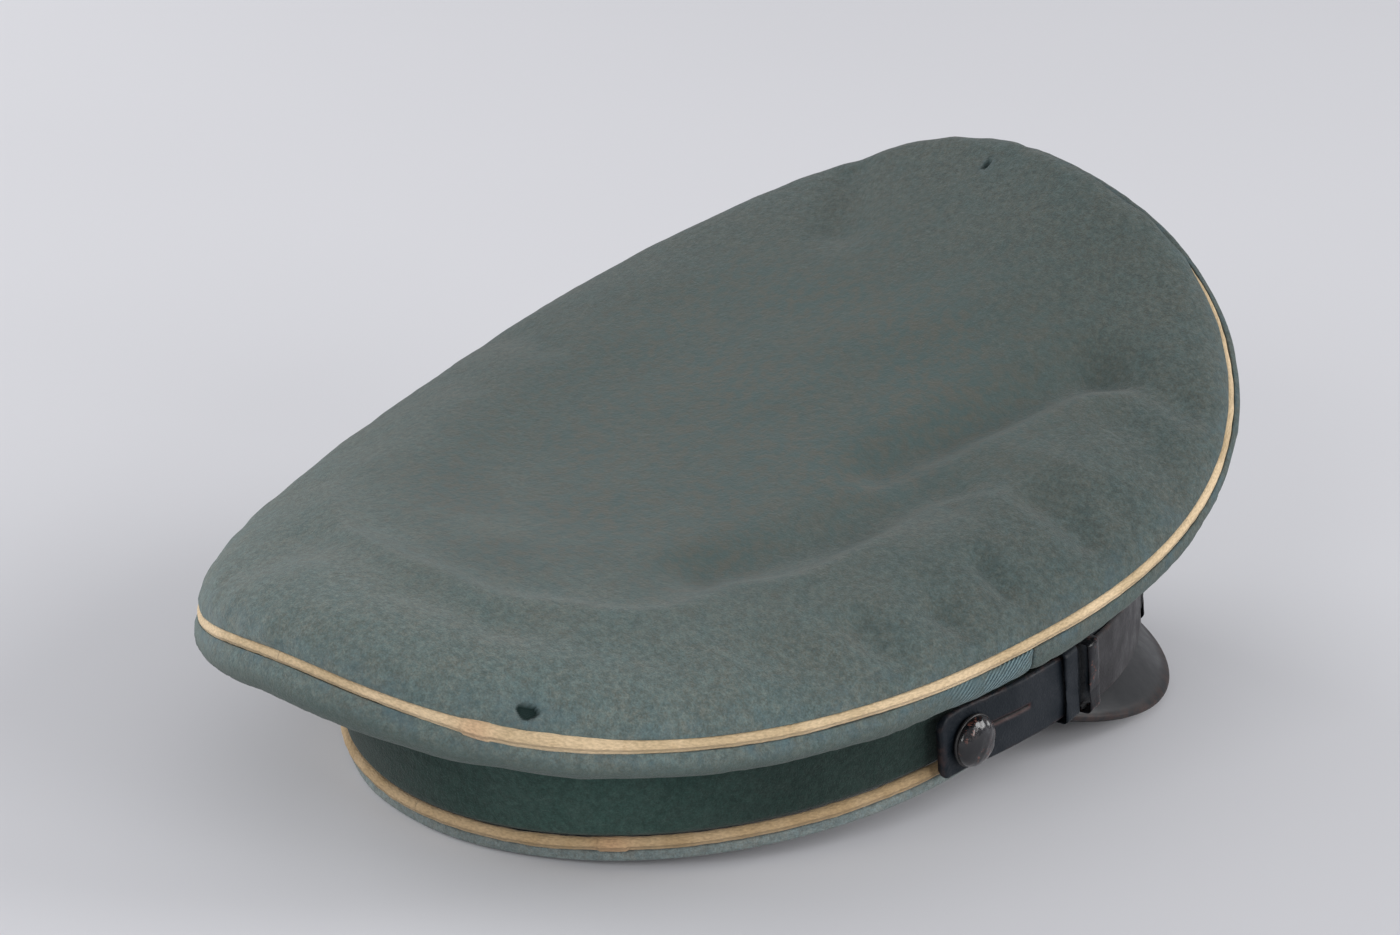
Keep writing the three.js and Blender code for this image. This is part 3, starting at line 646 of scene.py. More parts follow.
def side_line(angle, t):
    """Outer face of the side cloth: the straight way from under the rim's cord to the band's top seam, taken
    with the square of t, plus a swell that is a half wave of t."""
    rim, band = rim_section(angle), band_section(angle)
    swell_out, swell_up = waves(SIDE_SWELL_OUT, angle), -waves(SIDE_SWELL_DOWN, angle)
    travel, side = leaving_rim(swell_out, swell_up)
    start = turned_edge(travel, side, 1.0)
    end_out = (band.x - rim.x) * rim.out_x + (band.y - rim.y) * rim.out_y + SEAM_OUT
    end_up = UPPER_CORD_Z + CORD_RADIUS + LOOP_CLEARANCE - rim.z
    bulge = np.sin(np.pi * t)
    out = start[0] + (end_out - start[0]) * t**2 + swell_out * bulge
    up = start[1] + (end_up - start[1]) * t**2 + swell_up * bulge
    return in_section(rim, out, up), rim, travel, side


def side_cloth(name, from_angle, to_angle):
    """One panel of side cloth: rings of its outer face, turned edge and inner face, stepped along the rim,
    closer together towards its two ends. The ends bend inwards, where it is sewn to the other panel."""
    gap = SIDE_SEAM_GAP / RIM_HALF_WIDTH
    share = np.linspace(0, 1, SIDE_STEPS)[:, None]
    gathered = share - 0.765 * np.sin(2 * np.pi * share) / (2 * np.pi)
    angle = from_angle + gap + gathered * (to_angle - from_angle - 2 * gap)
    t = np.linspace(0, 1, SIDE_ROWS)[None, :]
    outer, rim, travel, side = side_line(angle, t)
    outward = in_section(rim, 1.0, 0.0) - in_section(rim, 0.0, 0.0)
    normal = grid_normals(outer, False, outward)
    from_end = np.minimum(angle - angle[0], angle[-1] - angle) * rim.radius
    sewn = -SIDE_SEAM_DEPTH * np.exp(-from_end / STITCH_REACH) - STITCH_DIP * bell(from_end, STITCH_DIP_WIDTH)
    held = 1 - np.exp(-18 * t)
    soft = held * rippled(outer, SIDE_SLACK)
    outer = outer + normal * (soft + sewn * held + rippled(outer, SIDE_NAP))[..., None]
    coarse = side_line(angle, np.linspace(0.02, 1, SIDE_LINING_ROWS)[None, :])[0]
    coarse = coarse - grid_normals(coarse, False, outward) * CLOTH_WALL
    edge = edge_rows(rim, travel, side)
    front = np.concatenate([edge, outer], 1)
    at = np.linspace(0, coarse.shape[1] - 1, front.shape[1])
    before = np.minimum(at.astype(int), coarse.shape[1] - 2)
    past = (at - before)[None, :, None]
    back = coarse[:, before] * (1 - past) + coarse[:, before + 1] * past
    rings = np.concatenate([front, back[:, ::-1]], 1)
    shown, hidden = np.ones(front.shape[:2]), np.zeros(back.shape[:2])
    near_seam = np.concatenate([np.ones(edge.shape[1]), np.exp(-5 * t[0])])
    marks = {
        "seam": np.concatenate([near_seam * shown, hidden], 1),
        "join": np.concatenate([bell(from_end, TWILL_SHOWS_WITHIN) * shown, hidden], 1),
    }
    return ring_piece(name, rings, False, marks)


# ---- cords and band


def cord(name, section_at, inset, height, joint, seed, fullness=0.0):
    """A covered cord: circles in the section planes, whose radius and centre waver a little. Where its two
    ends overlap it is thicker, with a step at each side, and beside that it may be fuller and stand proud."""
    angle = np.linspace(-np.pi, np.pi, CORD_STEPS, endpoint=False)[:, None]
    section = section_at(angle)
    centre = in_section(section, -inset, height)
    turn = np.linspace(0, 2 * np.pi, CORD_SIDES, endpoint=False)[None, :]
    from_joint = (angle - joint) * section.radius
    past_joint_end = np.abs(from_joint) - JOINT_HALF_LENGTH
    doubled = 1 - smooth_step(-0.5, 0.5, past_joint_end)
    full = fullness * bell(from_joint - FULL_STRETCH_FROM_JOINT, FULL_STRETCH_LENGTH)
    swell = CORD_SWELLING + full + JOINT_SWELLING * doubled
    radius = CORD_RADIUS * (swell + rippled(centre, CORD_LUMPS, seed))
    out = radius * np.cos(turn) - inset + FULL_STRETCH_PROUD * full + 0.3 * doubled
    rings = in_section(section, out, height + radius * np.sin(turn) + rippled(centre, CORD_WANDER, seed))
    return ring_piece(name, rings, True, {"stain": bell(from_joint, 5.0)})


def band_tube(name, bottom, top, bulge, round_off, seed):
    """An oval tube of cloth: rings of an outer face that bulges a little and turns in at both edges, and of a
    plain inner face."""
    angle = np.linspace(-np.pi, np.pi, BAND_STEPS, endpoint=False)[:, None]
    section = band_section(angle)
    t = np.linspace(0, 1, BAND_ROWS)[None, :]
    height = bottom + (top - bottom) * t
    out = bulge * np.sin(np.pi * t) - fallen_back(round_off, np.minimum(height - bottom, top - height))
    outer = in_section(section, out, height)
    waver = rippled(outer, BAND_WAVER, seed)
    outer = in_section(section, out + np.sin(np.pi * t) * waver, height)
    down = np.linspace(1, 0, BAND_LINING_ROWS)[None, :]
    inner = in_section(section, -BAND_WALL, bottom + (top - bottom) * down)
    return ring_piece(name, np.concatenate([outer, inner], 1), True)


# ---- peak


def peak_board():
    """The peak: rings of its upper face, rounded rim and under face, stepped from corner to corner."""
    spread = np.linspace(-PEAK_SPREAD, PEAK_SPREAD, PEAK_STEPS)[:, None]
    section = band_section(spread * PEAK_HALF_ANGLE)
    reach = PEAK_REACH * (1 - np.abs(spread) ** PEAK_SQUARENESS) ** PEAK_CORNER_SWEEP
    share = np.linspace(0, 1, PEAK_ROWS)[None, :]
    half = PEAK_THICKNESS / 2
    edge_out = reach - half
    upper_out = share * edge_out
    upper_z = peak_z(upper_out / reach, reach)
    slope = -PEAK_SLOPE * (PEAK_ROOT_SHARE + 2 * (1 - PEAK_ROOT_SHARE))
    run, drop = 1 / math.hypot(1, slope), slope / math.hypot(1, slope)
    turn = np.linspace(np.pi / 2, -np.pi / 2, PEAK_RIM_ROWS)[None, 1:-1]
    edge_z = peak_z(edge_out / reach, reach) - half * run
    centre_out = edge_out + half * drop
    rim_out = centre_out + half * (np.cos(turn) * run - np.sin(turn) * drop)
    rim_z = edge_z + half * (np.cos(turn) * drop + np.sin(turn) * run)
    homeward = slice(None, None, -2)
    under_out = upper_out[:, homeward] + PEAK_THICKNESS * drop * share[:, homeward]
    under_z = upper_z[:, homeward] - PEAK_THICKNESS
    worn = smooth_step(0.9, 1, share)
    strips = [
        (-BAND_WALL, -CLEARANCE, 0),
        (upper_out, upper_z, worn),
        (rim_out, rim_z, 1),
        (under_out, under_z, worn[:, homeward]),
        (-BAND_WALL, -CLEARANCE - PEAK_THICKNESS, 0),
    ]
    parts = [in_section(section, out, z) for out, z, _ in strips]
    edge = [np.broadcast_to(mark, part.shape[:2]) for part, (_, _, mark) in zip(parts, strips)]
    return ring_piece("peak_board", np.concatenate(parts, 1), False, {"edge": np.concatenate(edge, 1)})


# ---- chin strap and its loops


def strap_layer(name, end_angle, inner_out, slit, seed):
    """A leather strip on edge along the strap's route: rings of a flat oval with small round edges. Its
    corners are cut round and its faces waver. Where slit is 1 it flares at its ends, and a slit for the
    button runs in from each end."""
    angle = np.linspace(-end_angle, end_angle, STRAP_STEPS)[:, None]
    section = strap_section(angle)
    path = in_section(section, 0.0, 0.0)[:, 0]
    run = np.concatenate([[0], np.cumsum(np.linalg.norm(np.diff(path, axis=0), axis=1))])[:, None]
    from_end = np.minimum(run, run[-1] - run)
    trim = np.minimum(fallen_back(STRAP_CORNER, from_end), STRAP_CORNER - 0.6)
    low, high = trim, STRAP_HEIGHT - trim
    rise = 0.5 - 0.5 * np.cos(np.linspace(0, np.pi, STRAP_ROWS))[None, :]
    from_edge = np.minimum(rise, 1 - rise) * (high - low)
    half = STRAP_THICKNESS / 2
    rounding = 1 - fallen_back(half, from_edge) / half
    middle = inner_out + half
    flare = FLARE_DEPTH * bell(from_end - FLARE_FROM_END, FLARE_WIDTH) * slit
    bow = STRAP_BOW * np.sin(np.pi * rise)
    face = middle + rounding * (half + flare) + bow * rounding
    height = low + (high - low) * rise
    points = in_section(section, face, height)
    waver = rippled(points, STRAP_WAVER, seed)
    slit_run = from_end - SLIT_FROM_END
    in_slit = smooth_step(0, 0.8, slit_run) - smooth_step(-0.5, 0.5, slit_run - SLIT_LENGTH)
    across = np.abs(height - (BUTTON_Z + SLIT_ABOVE_BUTTON - STRAP_SIDE_Z))
    groove = SLIT_DEPTH * bell(across, SLIT_WIDTH) - LIP_HEIGHT * bell(across - LIP_FROM_SLIT, LIP_WIDTH)
    outer = in_section(section, face + rounding * waver - slit * in_slit * groove, height)
    inner = in_section(section, middle - rounding * half + 0.5 * bow * rounding, height)
    rings = np.concatenate([outer, inner[:, ::-1]], 1)
    edge = np.maximum(bell(from_edge, 0.7), bell(from_end, 0.9))
    marks = {
        "edge": np.concatenate([edge, edge[:, ::-1]], 1),
        "slit": np.concatenate([slit * in_slit * bell(across, 0.6), np.zeros_like(edge)], 1),
    }
    return ring_piece(name, rings, False, marks)


def dense(points, count):
    """Points spread evenly along a closed chain of points."""
    chain = np.concatenate([points, points[:1]])
    run = np.concatenate([[0], np.cumsum(np.linalg.norm(np.diff(chain, axis=0), axis=1) + 1e-6)])
    at = np.linspace(0, run[-1], count, endpoint=False)
    return np.stack([np.interp(at, run, chain[:, k]) for k in range(points.shape[1])], -1)


def strap_loop(name, side, loop, seed):
    """A loop round the strap: a rectangular ring with round corners, whose own section is a superellipse. Its
    front may be thicker than the rest."""
    section = strap_section(np.array(side * math.radians(loop.angle)))
    half = LOOP_THICKNESS / 2
    back = low = -LOOP_CLEARANCE - half
    front = loop.layers * STRAP_THICKNESS + (loop.layers - 1) * CLEARANCE + LOOP_CLEARANCE + half
    high = STRAP_HEIGHT + LOOP_CLEARANCE + half
    corner = min(1.0, (front - back) / 2 - 0.1)
    centres = [
        (front - corner, high - corner),
        (back + corner, high - corner),
        (back + corner, low + corner),
        (front - corner, low + corner),
    ]
    quarter_turn = np.linspace(0, np.pi / 2, LOOP_CORNER_STEPS)
    turn = (quarter_turn + np.arange(4)[:, None] * np.pi / 2).ravel()
    heading = np.stack([np.cos(turn), np.sin(turn)], -1)
    path = dense(np.repeat(centres, LOOP_CORNER_STEPS, axis=0) + corner * heading, LOOP_STEPS)
    heading = dense(heading, LOOP_STEPS)
    heading /= np.linalg.norm(heading, axis=1, keepdims=True)
    turn = np.linspace(0, 2 * np.pi, LOOP_SIDES, endpoint=False)
    power = 2 / loop.squareness
    proud = half * np.sign(np.cos(turn)) * np.abs(np.cos(turn)) ** power
    proud = proud + np.clip(heading[:, :1], 0, 1) * (loop.front - LOOP_THICKNESS) * (proud > 0)
    along = loop.width / 2 * np.sign(np.sin(turn)) * np.abs(np.sin(turn)) ** power
    points = in_section(section, path[:, :1] + heading[:, :1] * proud, path[:, 1:] + heading[:, 1:] * proud)
    points = moved_along(points, section, along)
    points += rippled(points, LOOP_WEAR, seed)[..., None]
    return ring_piece(name, points, True)


# ---- side buttons


def side_button(name, side, seed):
    """A domed button turned about its axis: shank, back, rolled rim and a hammered dome."""
    section = band_section(np.array(side * BUTTON_ANGLE))
    back = STRAP_HALF_WIDTH - BAND_HALF_WIDTH + STRAP_THICKNESS + 2 * CLEARANCE
    dome_t = np.linspace(0, np.pi / 2, DOME_ROWS)
    dome_radius = (BUTTON_RADIUS - DOME_INSET) * np.cos(dome_t)
    dome_rise = back + BUTTON_RIM + (BUTTON_DOME - BUTTON_RIM) * np.sin(dome_t)
    roll_t = np.linspace(-np.pi / 2, np.pi * 0.8, BUTTON_ROLL_ROWS)
    roll_radius = BUTTON_RADIUS - BUTTON_ROLL_RADIUS + BUTTON_ROLL_RADIUS * np.cos(roll_t)
    roll_rise = back + BUTTON_ROLL_RADIUS + BUTTON_ROLL_RADIUS * np.sin(roll_t)
    radius = np.concatenate([[0, SHANK_RADIUS, SHANK_RADIUS], roll_radius, dome_radius])
    rise = np.concatenate([[CLEARANCE, CLEARANCE, back], roll_rise, dome_rise])
    turn = np.linspace(0, 2 * np.pi, BUTTON_STEPS, endpoint=False)[:, None]
    across, up = radius * np.cos(turn), radius * np.sin(turn)
    flat = np.stack(np.broadcast_arrays(across, up, rise), -1)
    hammered = rippled(flat, DOME_HAMMERING, seed) * smooth_step(0, 1.2, radius)
    hammered[:, :-DOME_ROWS] = 0
    out = rise + hammered
    points = moved_along(in_section(section, out, BUTTON_Z + up), section, across)
    on_dome = np.zeros(points.shape[:2])
    on_dome[:, 2 - DOME_ROWS :] = 1
    uv = flat[..., :2].reshape(-1, 2)
    quads = pole_faces(*points.shape[:2])
    return make_piece(name, points.reshape(-1, 3), quads, uv, {"dome": on_dome.ravel()})


# ---- materials

# a Mix node's sockets for colours, by number
MIX_SHARE, MIX_UNDER, MIX_OVER, MIX_RESULT = 0, 6, 7, 2


def tone(red, green, blue):
    """A display colour of 0 to 255 as the linear colour that the shaders take."""
    share = np.array([red, green, blue]) / 255
    linear = np.where(share <= 0.04045, share / 12.92, ((share + 0.055) / 1.055) ** 2.4)
    return (*linear.tolist(), 1.0)


class Recipe:
    """A material and short ways to add and join its nodes."""

    def __init__(self, name, roughness, **sockets):
        self.material = bpy.data.materials.new(name)
        self.material.use_nodes = True
        self.tree = self.material.node_tree
        self.shader = self.tree.nodes["Principled BSDF"]
        self.set(self.shader, "Roughness", roughness)
        for socket, value in sockets.items():
            self.set(self.shader, socket.replace("_", " "), value)
        self.objects = self.tree.nodes.new("ShaderNodeTexCoord").outputs["Object"]
        self.colour = self.normal = None

    def set(self, node, socket, value):
        """Joins an output to a socket, or sets the socket's own value."""
        target = node.inputs[socket]
        if isinstance(value, bpy.types.NodeSocket):
            self.tree.links.new(value, target)
        else:
            target.default_value = value

    def node(self, kind, sockets=None, **settings):
        """A new node of a kind, with its sockets joined or set, and with its own settings."""
        made = self.tree.nodes.new("ShaderNode" + kind)
        for key, value in settings.items():
            setattr(made, key, value)
        for socket, value in (sockets or {}).items():
            self.set(made, socket, value)
        return made

    def mark(self, name):
        """The numbers that a piece holds for its vertices under a name."""
        return self.node("Attribute", attribute_name=name).outputs["Fac"]

    def cut(self):
        """The place on the flat cut of a piece, in metres."""
        return self.node("UVMap", uv_map="cut").outputs["UV"]

    def split(self, coordinates, axis):
        """One coordinate of the three."""
        return self.node("SeparateXYZ", {0: coordinates}).outputs[axis]

    def stretched(self, coordinates, scale, turn=0.0):
        """Coordinates scaled along each axis and turned."""
        sockets = {"Vector": coordinates, "Scale": scale, "Rotation": (0, 0, turn)}
        return self.node("Mapping", sockets).outputs["Vector"]

    def noise(self, scale, detail, rough, at=None):
        """Noise of 0 to 1 with about scale clouds in a metre."""
        place = self.objects if at is None else at
        sockets = {"Vector": place, "Scale": scale, "Detail": detail, "Roughness": rough}
        return self.node("TexNoise", sockets).outputs["Fac"]

    def ramp(self, value, low, high, out_low=0.0, out_high=1.0):
        """A soft step from one number to another while the value goes from low to high."""
        sockets = dict(enumerate((value, low, high, out_low, out_high)))
        return self.node("MapRange", sockets, interpolation_type="SMOOTHSTEP").outputs["Result"]

    def clouds(self, scale, detail, rough, low, high, out_low=0.0, out_high=1.0):
        """Clouds of noise, as a soft step."""
        return self.ramp(self.noise(scale, detail, rough), low, high, out_low, out_high)

    def math(self, operation, a, b=0.5):
        """Arithmetic on one number or two."""
        return self.node("Math", {0: a, 1: b}, operation=operation).outputs[0]

    def both(self, a, b):
        """The product of two shares, which is high only where both are."""
        return self.math("MULTIPLY", a, b)

    def mix(self, share, a, b, blend="MIX"):
        """Colour b laid over colour a by a share."""
        sockets = {MIX_SHARE: share, MIX_UNDER: a, MIX_OVER: b}
        return self.node("Mix", sockets, data_type="RGBA", blend_type=blend).outputs[MIX_RESULT]

    def lay(self, share, over):
        """Lays a colour over the colour so far, by a share."""
        self.colour = self.mix(share, self.colour, over)

    def shade(self, share):
        """Makes the colour so far darker or paler by a share."""
        self.colour = self.mix(1.0, self.colour, share, "MULTIPLY")

    def emboss(self, height, distance, strength=1.0):
        """Raises the surface so far by a height of 0 to 1 times a distance in metres."""
        sockets = {"Height": height, "Distance": distance, "Strength": strength}
        if self.normal is not None:
            sockets["Normal"] = self.normal
        self.normal = self.node("Bump", sockets).outputs["Normal"]

    def finish(self):
        """Joins the colour and the normal to the shader."""
        self.set(self.shader, "Base Color", self.colour)
        if self.normal is not None:
            self.set(self.shader, "Normal", self.normal)
        return self.material


def twill(r):
    """Fine slanting ribs of a twill: 0 to 1 across each rib, on the cloth's own cut."""
    ribs_per_unit = 1.6
    scale = 1 / (TWILL_PITCH * MM * ribs_per_unit)
    sockets = {"Vector": r.cut(), "Scale": scale, "Distortion": 1.2, "Detail": 2.0, "Detail Scale": 3.0}
    return r.node("TexWave", sockets, wave_type="BANDS", bands_direction="DIAGONAL").outputs["Fac"]


def wool(name, fresh, faded, dusty, cool, depth=1.0):
    """Felted wool: a fresh and a faded colour in clouds, a dusty tint in spots, a cool tint in specks, flecks
    of single fibres and a fine nap."""
    r = Recipe(name, 0.92, Sheen_Weight=0.12, Sheen_Roughness=0.5, Specular_IOR_Level=0.15)
    clouds = r.clouds(60, 4, 0.6, 0.36, 0.64)
    dust = r.clouds(260, 5, 0.7, 0.4, 0.66, 0.0, 0.5)
    specks = r.clouds(1100, 3, 0.7, 0.42, 0.62, 0.0, 0.5)
    r.colour = r.mix(clouds, fresh, faded)
    r.lay(dust, dusty)
    r.lay(specks, cool)
    r.shade(r.clouds(2200, 2, 0.6, 0.3, 0.7, 0.8, 1.2))
    r.shade(r.clouds(560, 4, 0.7, 0.34, 0.68, 0.82, 1.2))
    r.emboss(r.noise(2200, 2, 0.6), 0.0003 * depth)
    r.emboss(r.noise(700, 4, 0.65), 0.0004 * depth)
    return r


def field_cloth(name, is_top=False, has_twill=False):
    """Grey-green wool of the crown, bluer in streaks along the seams, and painted paler towards the rear:
    painted light. The top is browner in the middle, cool round its moth holes and painted dark inside them:
    painted shade.
    The sides are darker towards the band, painted shade where they curve under, and may show their twill
    beside the side seams."""
    fresh, faded, dusty, cool = tone(91, 104, 101), tone(97, 105, 100), tone(102, 104, 96), tone(76, 94, 95)
    r = wool(name, fresh, faded, dusty, cool)
    # painted light: the wool is painted paler towards the rear and darker towards the front
    r.shade(r.ramp(r.split(r.objects, "Y"), -0.03, 0.12, 0.76, 1.18))
    streaks = r.both(r.mark("seam"), r.clouds(170, 4, 0.6, 0.45, 0.66))
    r.lay(r.both(streaks, 0.22 if is_top else 0.45), tone(72, 99, 110))
    if is_top:
        middle = r.both(r.mark("middle"), r.clouds(40, 4, 0.6, 0.3, 0.62, 0.5, 1.0))
        spots = r.clouds(300, 4, 0.7, 0.38, 0.64)
        r.lay(middle, r.mix(spots, tone(75, 91, 90), tone(88, 91, 85)))
        r.lay(r.both(r.mark("halo"), 0.3), tone(62, 92, 104))
        # painted shade: the moth holes are painted dark for the shade of the crown's inside seen through them
        r.lay(r.mark("hole"), tone(28, 45, 43))
    else:
        # painted shade: the lower part of each side, towards the band, is painted darker where the cloth
        # curves under
        r.lay(r.ramp(r.mark("seam"), 0.12, 0.75, 0.85, 0.0), tone(68, 80, 75))
    if has_twill:
        ribs = twill(r)
        worn_bare = r.clouds(120, 3, 0.6, 0.3, 0.5)
        shown = r.both(r.ramp(r.mark("join"), 0.05, 0.6, 0, 0.8), worn_bare)
        r.lay(shown, r.mix(ribs, tone(38, 62, 71), tone(118, 142, 146)))
        r.emboss(r.both(ribs, shown), 0.0003)
    return r.finish()


def painted_light_edge():
    """Paler wool of the turned edge under the band: painted light on this bottom edge, which faces the floor
    and the lamps.
    """
    fresh, faded = tone(112, 122, 121), tone(118, 126, 123)
    r = wool("edge_wool", fresh, faded, tone(122, 124, 118), tone(100, 116, 118))
    return r.finish()


def band_cloth():
    """Dark green cloth of the band, with a fine pale fuzz, painted brighter in its middle and darker towards
    the rear right and the left: painted light and shade.
    """
    fresh, faded, dusty, cool = tone(40, 60, 55), tone(46, 65, 60), tone(53, 68, 63), tone(38, 58, 53)
    r = wool("band_wool", fresh, faded, dusty, cool, 0.8)
    # painted light and shade: brighter where the band faces the light, darker towards both sides
    across = r.math("ADD", r.split(r.objects, "X"), r.split(r.objects, "Y"))
    from_middle = r.math("ABSOLUTE", r.math("SUBTRACT", across, 0.037))
    r.shade(r.ramp(from_middle, 0.0, 0.085, 1.36, 0.64))
    return r.finish()


def cord_cloth(name, fresh, aged):
    """Cream twill cover of the cords: a fine slanting grain, uneven ageing, specks, a stain at the joint."""
    r = Recipe(name, 0.85, Sheen_Weight=0.1, Specular_IOR_Level=0.15)
    r.colour = r.mix(r.clouds(45, 4, 0.6, 0.35, 0.66), fresh, aged)
    r.lay(r.clouds(240, 5, 0.7, 0.56, 0.76, 0, 0.4), tone(172, 142, 104))
    r.lay(r.both(r.mark("stain"), 0.4), tone(190, 146, 112))
    specks = r.clouds(520, 2, 0.5, 0.73, 0.78, 0, 0.5)
    r.lay(specks, tone(120, 88, 60))
    grain = r.noise(1.0, 2, 0.5, at=r.stretched(r.cut(), (900, 2000, 1), 0.6))
    r.shade(r.ramp(grain, 0.3, 0.7, 0.84, 1.12))
    r.emboss(grain, 0.0003)
    r.emboss(r.noise(420, 3, 0.6), 0.0004)
    return r.finish()


def worn_leather(name, dark, light):
    """Blackened strap leather, brown where it is rubbed along its edges, with long scuffs. Its slit has brown
    lips
    and a core painted near black: painted shade in the cut."""
    r = Recipe(name, 0.5, Specular_IOR_Level=0.2)
    r.colour = r.mix(r.clouds(70, 5, 0.6, 0.35, 0.65), dark, light)
    rubbed = r.both(r.mark("edge"), r.clouds(260, 5, 0.7, 0.42, 0.62))
    r.lay(r.both(rubbed, 0.35), tone(84, 62, 56))
    r.lay(r.mark("slit"), tone(84, 52, 47))
    # painted shade: the core of the slit is painted near black
    r.lay(r.ramp(r.mark("slit"), 0.45, 0.8), tone(13, 11, 12))
    scuffs = r.ramp(r.noise(1.0, 4, 0.7, at=r.stretched(r.cut(), (60, 700, 1))), 0.6, 0.8, 0, 0.35)
    r.lay(scuffs, tone(92, 90, 92))
    r.set(r.shader, "Roughness", r.clouds(120, 4, 0.6, 0.3, 0.7, 0.38, 0.62))
    grain = r.node("TexVoronoi", {"Scale": 950.0, "Vector": r.objects}, feature="DISTANCE_TO_EDGE")
    r.emboss(grain.outputs["Distance"], 0.00025, 0.5)
    r.emboss(r.noise(180, 5, 0.6), 0.0005, 0.6)
    return r.finish()


def patent():
    """Black patent of the peak: soft gloss, fine scuffs, rust-brown and dull along its worn edge."""
    r = Recipe("peak_patent", 0.34, Specular_IOR_Level=0.4, Coat_Weight=0.12, Coat_Roughness=0.25)
    r.colour = r.mix(r.clouds(40, 5, 0.6, 0.35, 0.65), tone(24, 26, 29), tone(33, 34, 37))
    rubbed = r.both(r.mark("edge"), r.clouds(300, 5, 0.7, 0.4, 0.6))
    r.lay(r.both(rubbed, 0.5), tone(64, 44, 38))
    gloss = r.clouds(90, 6, 0.7, 0.3, 0.7, 0.32, 0.5)
    dull = r.both(r.mark("edge"), 0.4)
    r.set(r.shader, "Roughness", r.math("ADD", gloss, dull))
    r.emboss(r.noise(60, 4, 0.6), 0.0006, 0.5)
    return r.finish()


def black_enamel(name, gloss, is_domed=False):
    """Black enamel of the buttons and metal loops, chipped to reddish brown. Only the dome of a button is
    glossy, and its rim is dull."""
    r = Recipe(name, 0.12, Specular_IOR_Level=0.5 * gloss, Coat_Weight=0.3 * gloss, Coat_Roughness=0.05)
    r.colour = r.mix(r.clouds(160, 4, 0.6, 0.35, 0.65), tone(16, 17, 20), tone(28, 28, 32))
    chips = r.clouds(900, 5, 0.75, 0.53, 0.63, 0, 0.8)
    chips = r.both(chips, r.clouds(220, 3, 0.6, 0.45, 0.6))
    r.lay(chips, tone(112, 66, 54))
    roughness = r.math("ADD", r.both(chips, 0.5), 0.12)
    if is_domed:
        rim = r.ramp(r.mark("dome"), 0, 1, 1, 0)
        roughness = r.math("ADD", roughness, r.both(rim, 0.5))
        r.lay(rim, tone(20, 17, 18))
    r.set(r.shader, "Roughness", roughness)
    r.emboss(r.noise(420, 4, 0.6), 0.0002)
    return r.finish()


# ---- the pieces


def dress(piece, material, slot, *nodes):
    """Gives a piece its material, fixes it to the root body and hides the CAD parts that it stands for. The
    slot is not used.
    """
    piece.data.materials.append(material)
    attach(piece, "root")
    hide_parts(*nodes)


def main():
    crown_wool = field_cloth("crown_wool", is_top=True)
    front_wool = field_cloth("front_side_wool")
    rear_wool = field_cloth("rear_side_wool", has_twill=True)
    # the turned edge's wool is painted paler: painted light
    edge_wool = painted_light_edge()
    cover = cord_cloth("cord_cover", tone(214, 190, 155), tone(190, 167, 132))
    soiled_cover = cord_cloth("soiled_cord_cover", tone(182, 157, 123), tone(163, 138, 103))
    hide = worn_leather("strap_hide", tone(14, 22, 29), tone(27, 32, 38))
    # the outer layer's paler grey is partly its own browner tone and partly painted sheen of its smooth face
    outer_hide = worn_leather("outer_strap_hide", tone(38, 37, 39), tone(54, 53, 55))
    button_enamel = black_enamel("button_enamel", 1.0, is_domed=True)
    loop_enamel = black_enamel("loop_enamel", 0.3)
    quarter = np.pi / 2

    dress(top_cloth(), crown_wool, "field_cloth", "crown_top")
    dress(side_cloth("front_side_cloth", -quarter, quarter), front_wool, "field_cloth", "side_front")
    dress(side_cloth("rear_side_cloth", quarter, 3 * quarter), rear_wool, "field_cloth", "side_rear")
    crown_cord = cord("crown_cord", rim_section, 0.0, 0.0, CROWN_CORD_JOINT, 41, FULL_STRETCH_SWELLING)
    dress(crown_cord, cover, "piping_cord", "crown_piping")
    upper_cord = cord("upper_band_cord", band_section, CORD_INSET, UPPER_CORD_Z, UPPER_CORD_JOINT, 43)
    dress(upper_cord, cover, "piping_cord", "band_piping_upper")
    lower_cord = cord("lower_band_cord", band_section, CORD_INSET, LOWER_CORD_Z, LOWER_CORD_JOINT, 45)
    dress(lower_cord, soiled_cover, "piping_cord", "band_piping_lower")
    band_bottom = LOWER_CORD_Z + CORD_RADIUS + CLEARANCE
    band = band_tube("band_cloth", band_bottom, BAND_HEIGHT, bulge=0.35, round_off=0.7, seed=51)
    dress(band, band_cloth(), "band_cloth", "band")
    edge = band_tube("turned_edge", 0.0, EDGE_HEIGHT, bulge=0.1, round_off=0.8, seed=53)
    dress(edge, edge_wool, "field_cloth", "band_edge")
    dress(peak_board(), patent(), "peak_patent", "peak")

    inner = strap_layer("strap_inner_layer", STRAP_END_ANGLE, 0.0, slit=1.0, seed=61)
    dress(inner, hide, "strap_leather", "strap_inner")
    outer_start = STRAP_THICKNESS + CLEARANCE
    outer = strap_layer("strap_outer_layer", OUTER_STRAP_END_ANGLE, outer_start, slit=0.0, seed=63)
    dress(outer, outer_hide, "strap_leather", "strap_outer")
    for hand, side in (("right", -1), ("left", 1)):
        keeper = strap_loop("keeper_loop_" + hand, side, KEEPER, 71)
        dress(keeper, hide, "strap_leather", "keeper_" + hand)
        buckle = strap_loop("buckle_loop_" + hand, side, BUCKLE, 73)
        dress(buckle, loop_enamel, "black_enamel", "buckle_" + hand)
        slide = strap_loop("slide_loop_" + hand, side, SLIDE, 75)
        dress(slide, loop_enamel, "black_enamel", "slide_" + hand)
        button = side_button("domed_button_" + hand, side, 77)
        dress(button, button_enamel, "black_enamel", "button_" + hand)


# ---- camera, floor and light

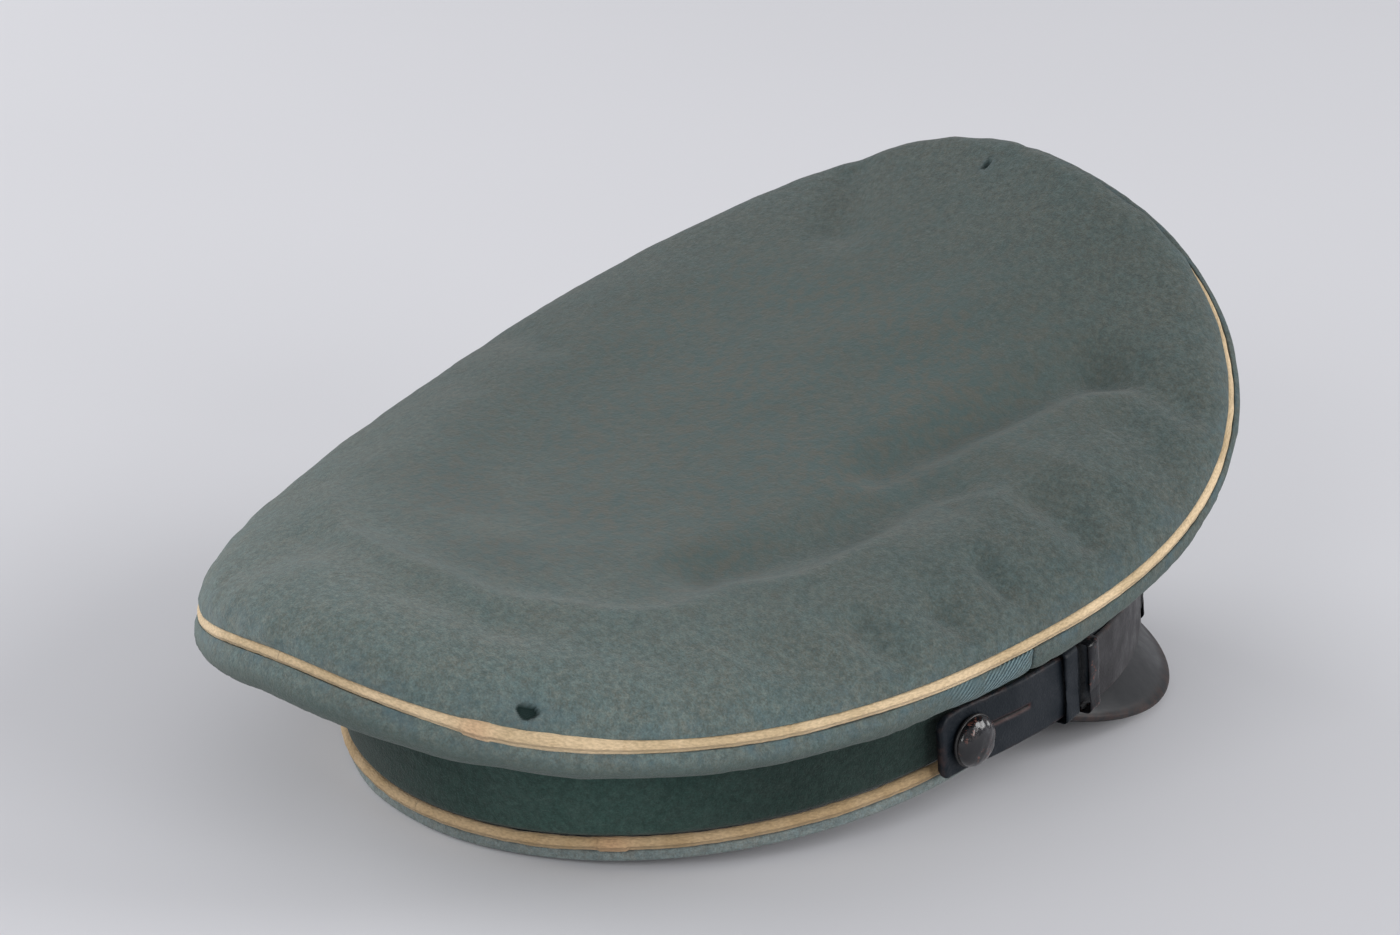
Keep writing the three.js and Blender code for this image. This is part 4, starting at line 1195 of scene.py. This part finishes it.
# places in mm, from the middle of the cap's bottom edge at rest
CAMERA_AT = (-733.7, 609.2, 465.0)
CAMERA_AIM = (5.6, -101.5, 67.1)
CAMERA_ROLL = math.radians(0.18)
LENS, FILM_WIDTH = 108.7, 36.0

# places and sizes in metres, power in watts
Light = namedtuple("Light", "name at size power")
LIGHTS = [
    Light("right_light", (-1.39, -1.43, 0.93), 1.2, 25),
    Light("near_right_light", (-2.04, -0.12, 0.75), 0.8, 13),
    Light("near_left_light", (-0.55, 1.92, 0.93), 1.2, 17),
    Light("far_light", (1.99, 0.57, 0.75), 1.2, 30),
]
LIGHTS_AIM = (0, 0, 0.06)
ROOM_COLOUR, ROOM_STRENGTH = (0.95, 0.96, 1.0, 1.0), 0.39
FLOOR_HALF_SIZE = 6.0


def looking(at, aim):
    """The matrix of an object that stands at a place and looks at another."""
    turn = (Vector(aim) - Vector(at)).to_track_quat("-Z", "Y")
    return Matrix.Translation(at) @ turn.to_matrix().to_4x4()


def place_camera():
    """A long lens, high behind the wearer's right, level but for a trace of roll."""
    camera = linked("camera", bpy.data.cameras.new("camera"))
    middle = Vector((0, REST_Y, 0))
    at, aim = (Vector(CAMERA_AT) + middle) * MM, (Vector(CAMERA_AIM) + middle) * MM
    camera.matrix_world = looking(at, aim) @ Matrix.Rotation(CAMERA_ROLL, 4, "Z")
    camera.data.lens, camera.data.sensor_width = LENS, FILM_WIDTH
    bpy.context.scene.camera = camera


def set_stage():
    """Pale floor, soft light from the whole room, and four square soft lights round the cap."""
    mesh = bpy.data.meshes.new("floor")
    h = FLOOR_HALF_SIZE
    mesh.from_pydata([(-h, -h, 0), (h, -h, 0), (h, h, 0), (-h, h, 0)], [], [(0, 1, 2, 3)])
    floor = linked("floor", mesh)
    r = Recipe("pale_floor", 0.9, Specular_IOR_Level=0.1)
    r.colour = r.mix(r.noise(1.6, 3, 0.5), tone(214, 214, 218), tone(222, 222, 226))
    floor.data.materials.append(r.finish())
    for light in LIGHTS:
        lamp = linked(light.name, bpy.data.lights.new(light.name, "AREA"))
        lamp.data.size, lamp.data.energy = light.size, light.power
        lamp.matrix_world = looking(light.at, LIGHTS_AIM)
    world = bpy.data.worlds.new("soft_room")
    world.use_nodes = True
    background = world.node_tree.nodes["Background"]
    background.inputs["Color"].default_value = ROOM_COLOUR
    background.inputs["Strength"].default_value = ROOM_STRENGTH
    bpy.context.scene.world = world
    bpy.context.scene.view_settings.view_transform = "Standard"


place_camera()
set_stage()
main()
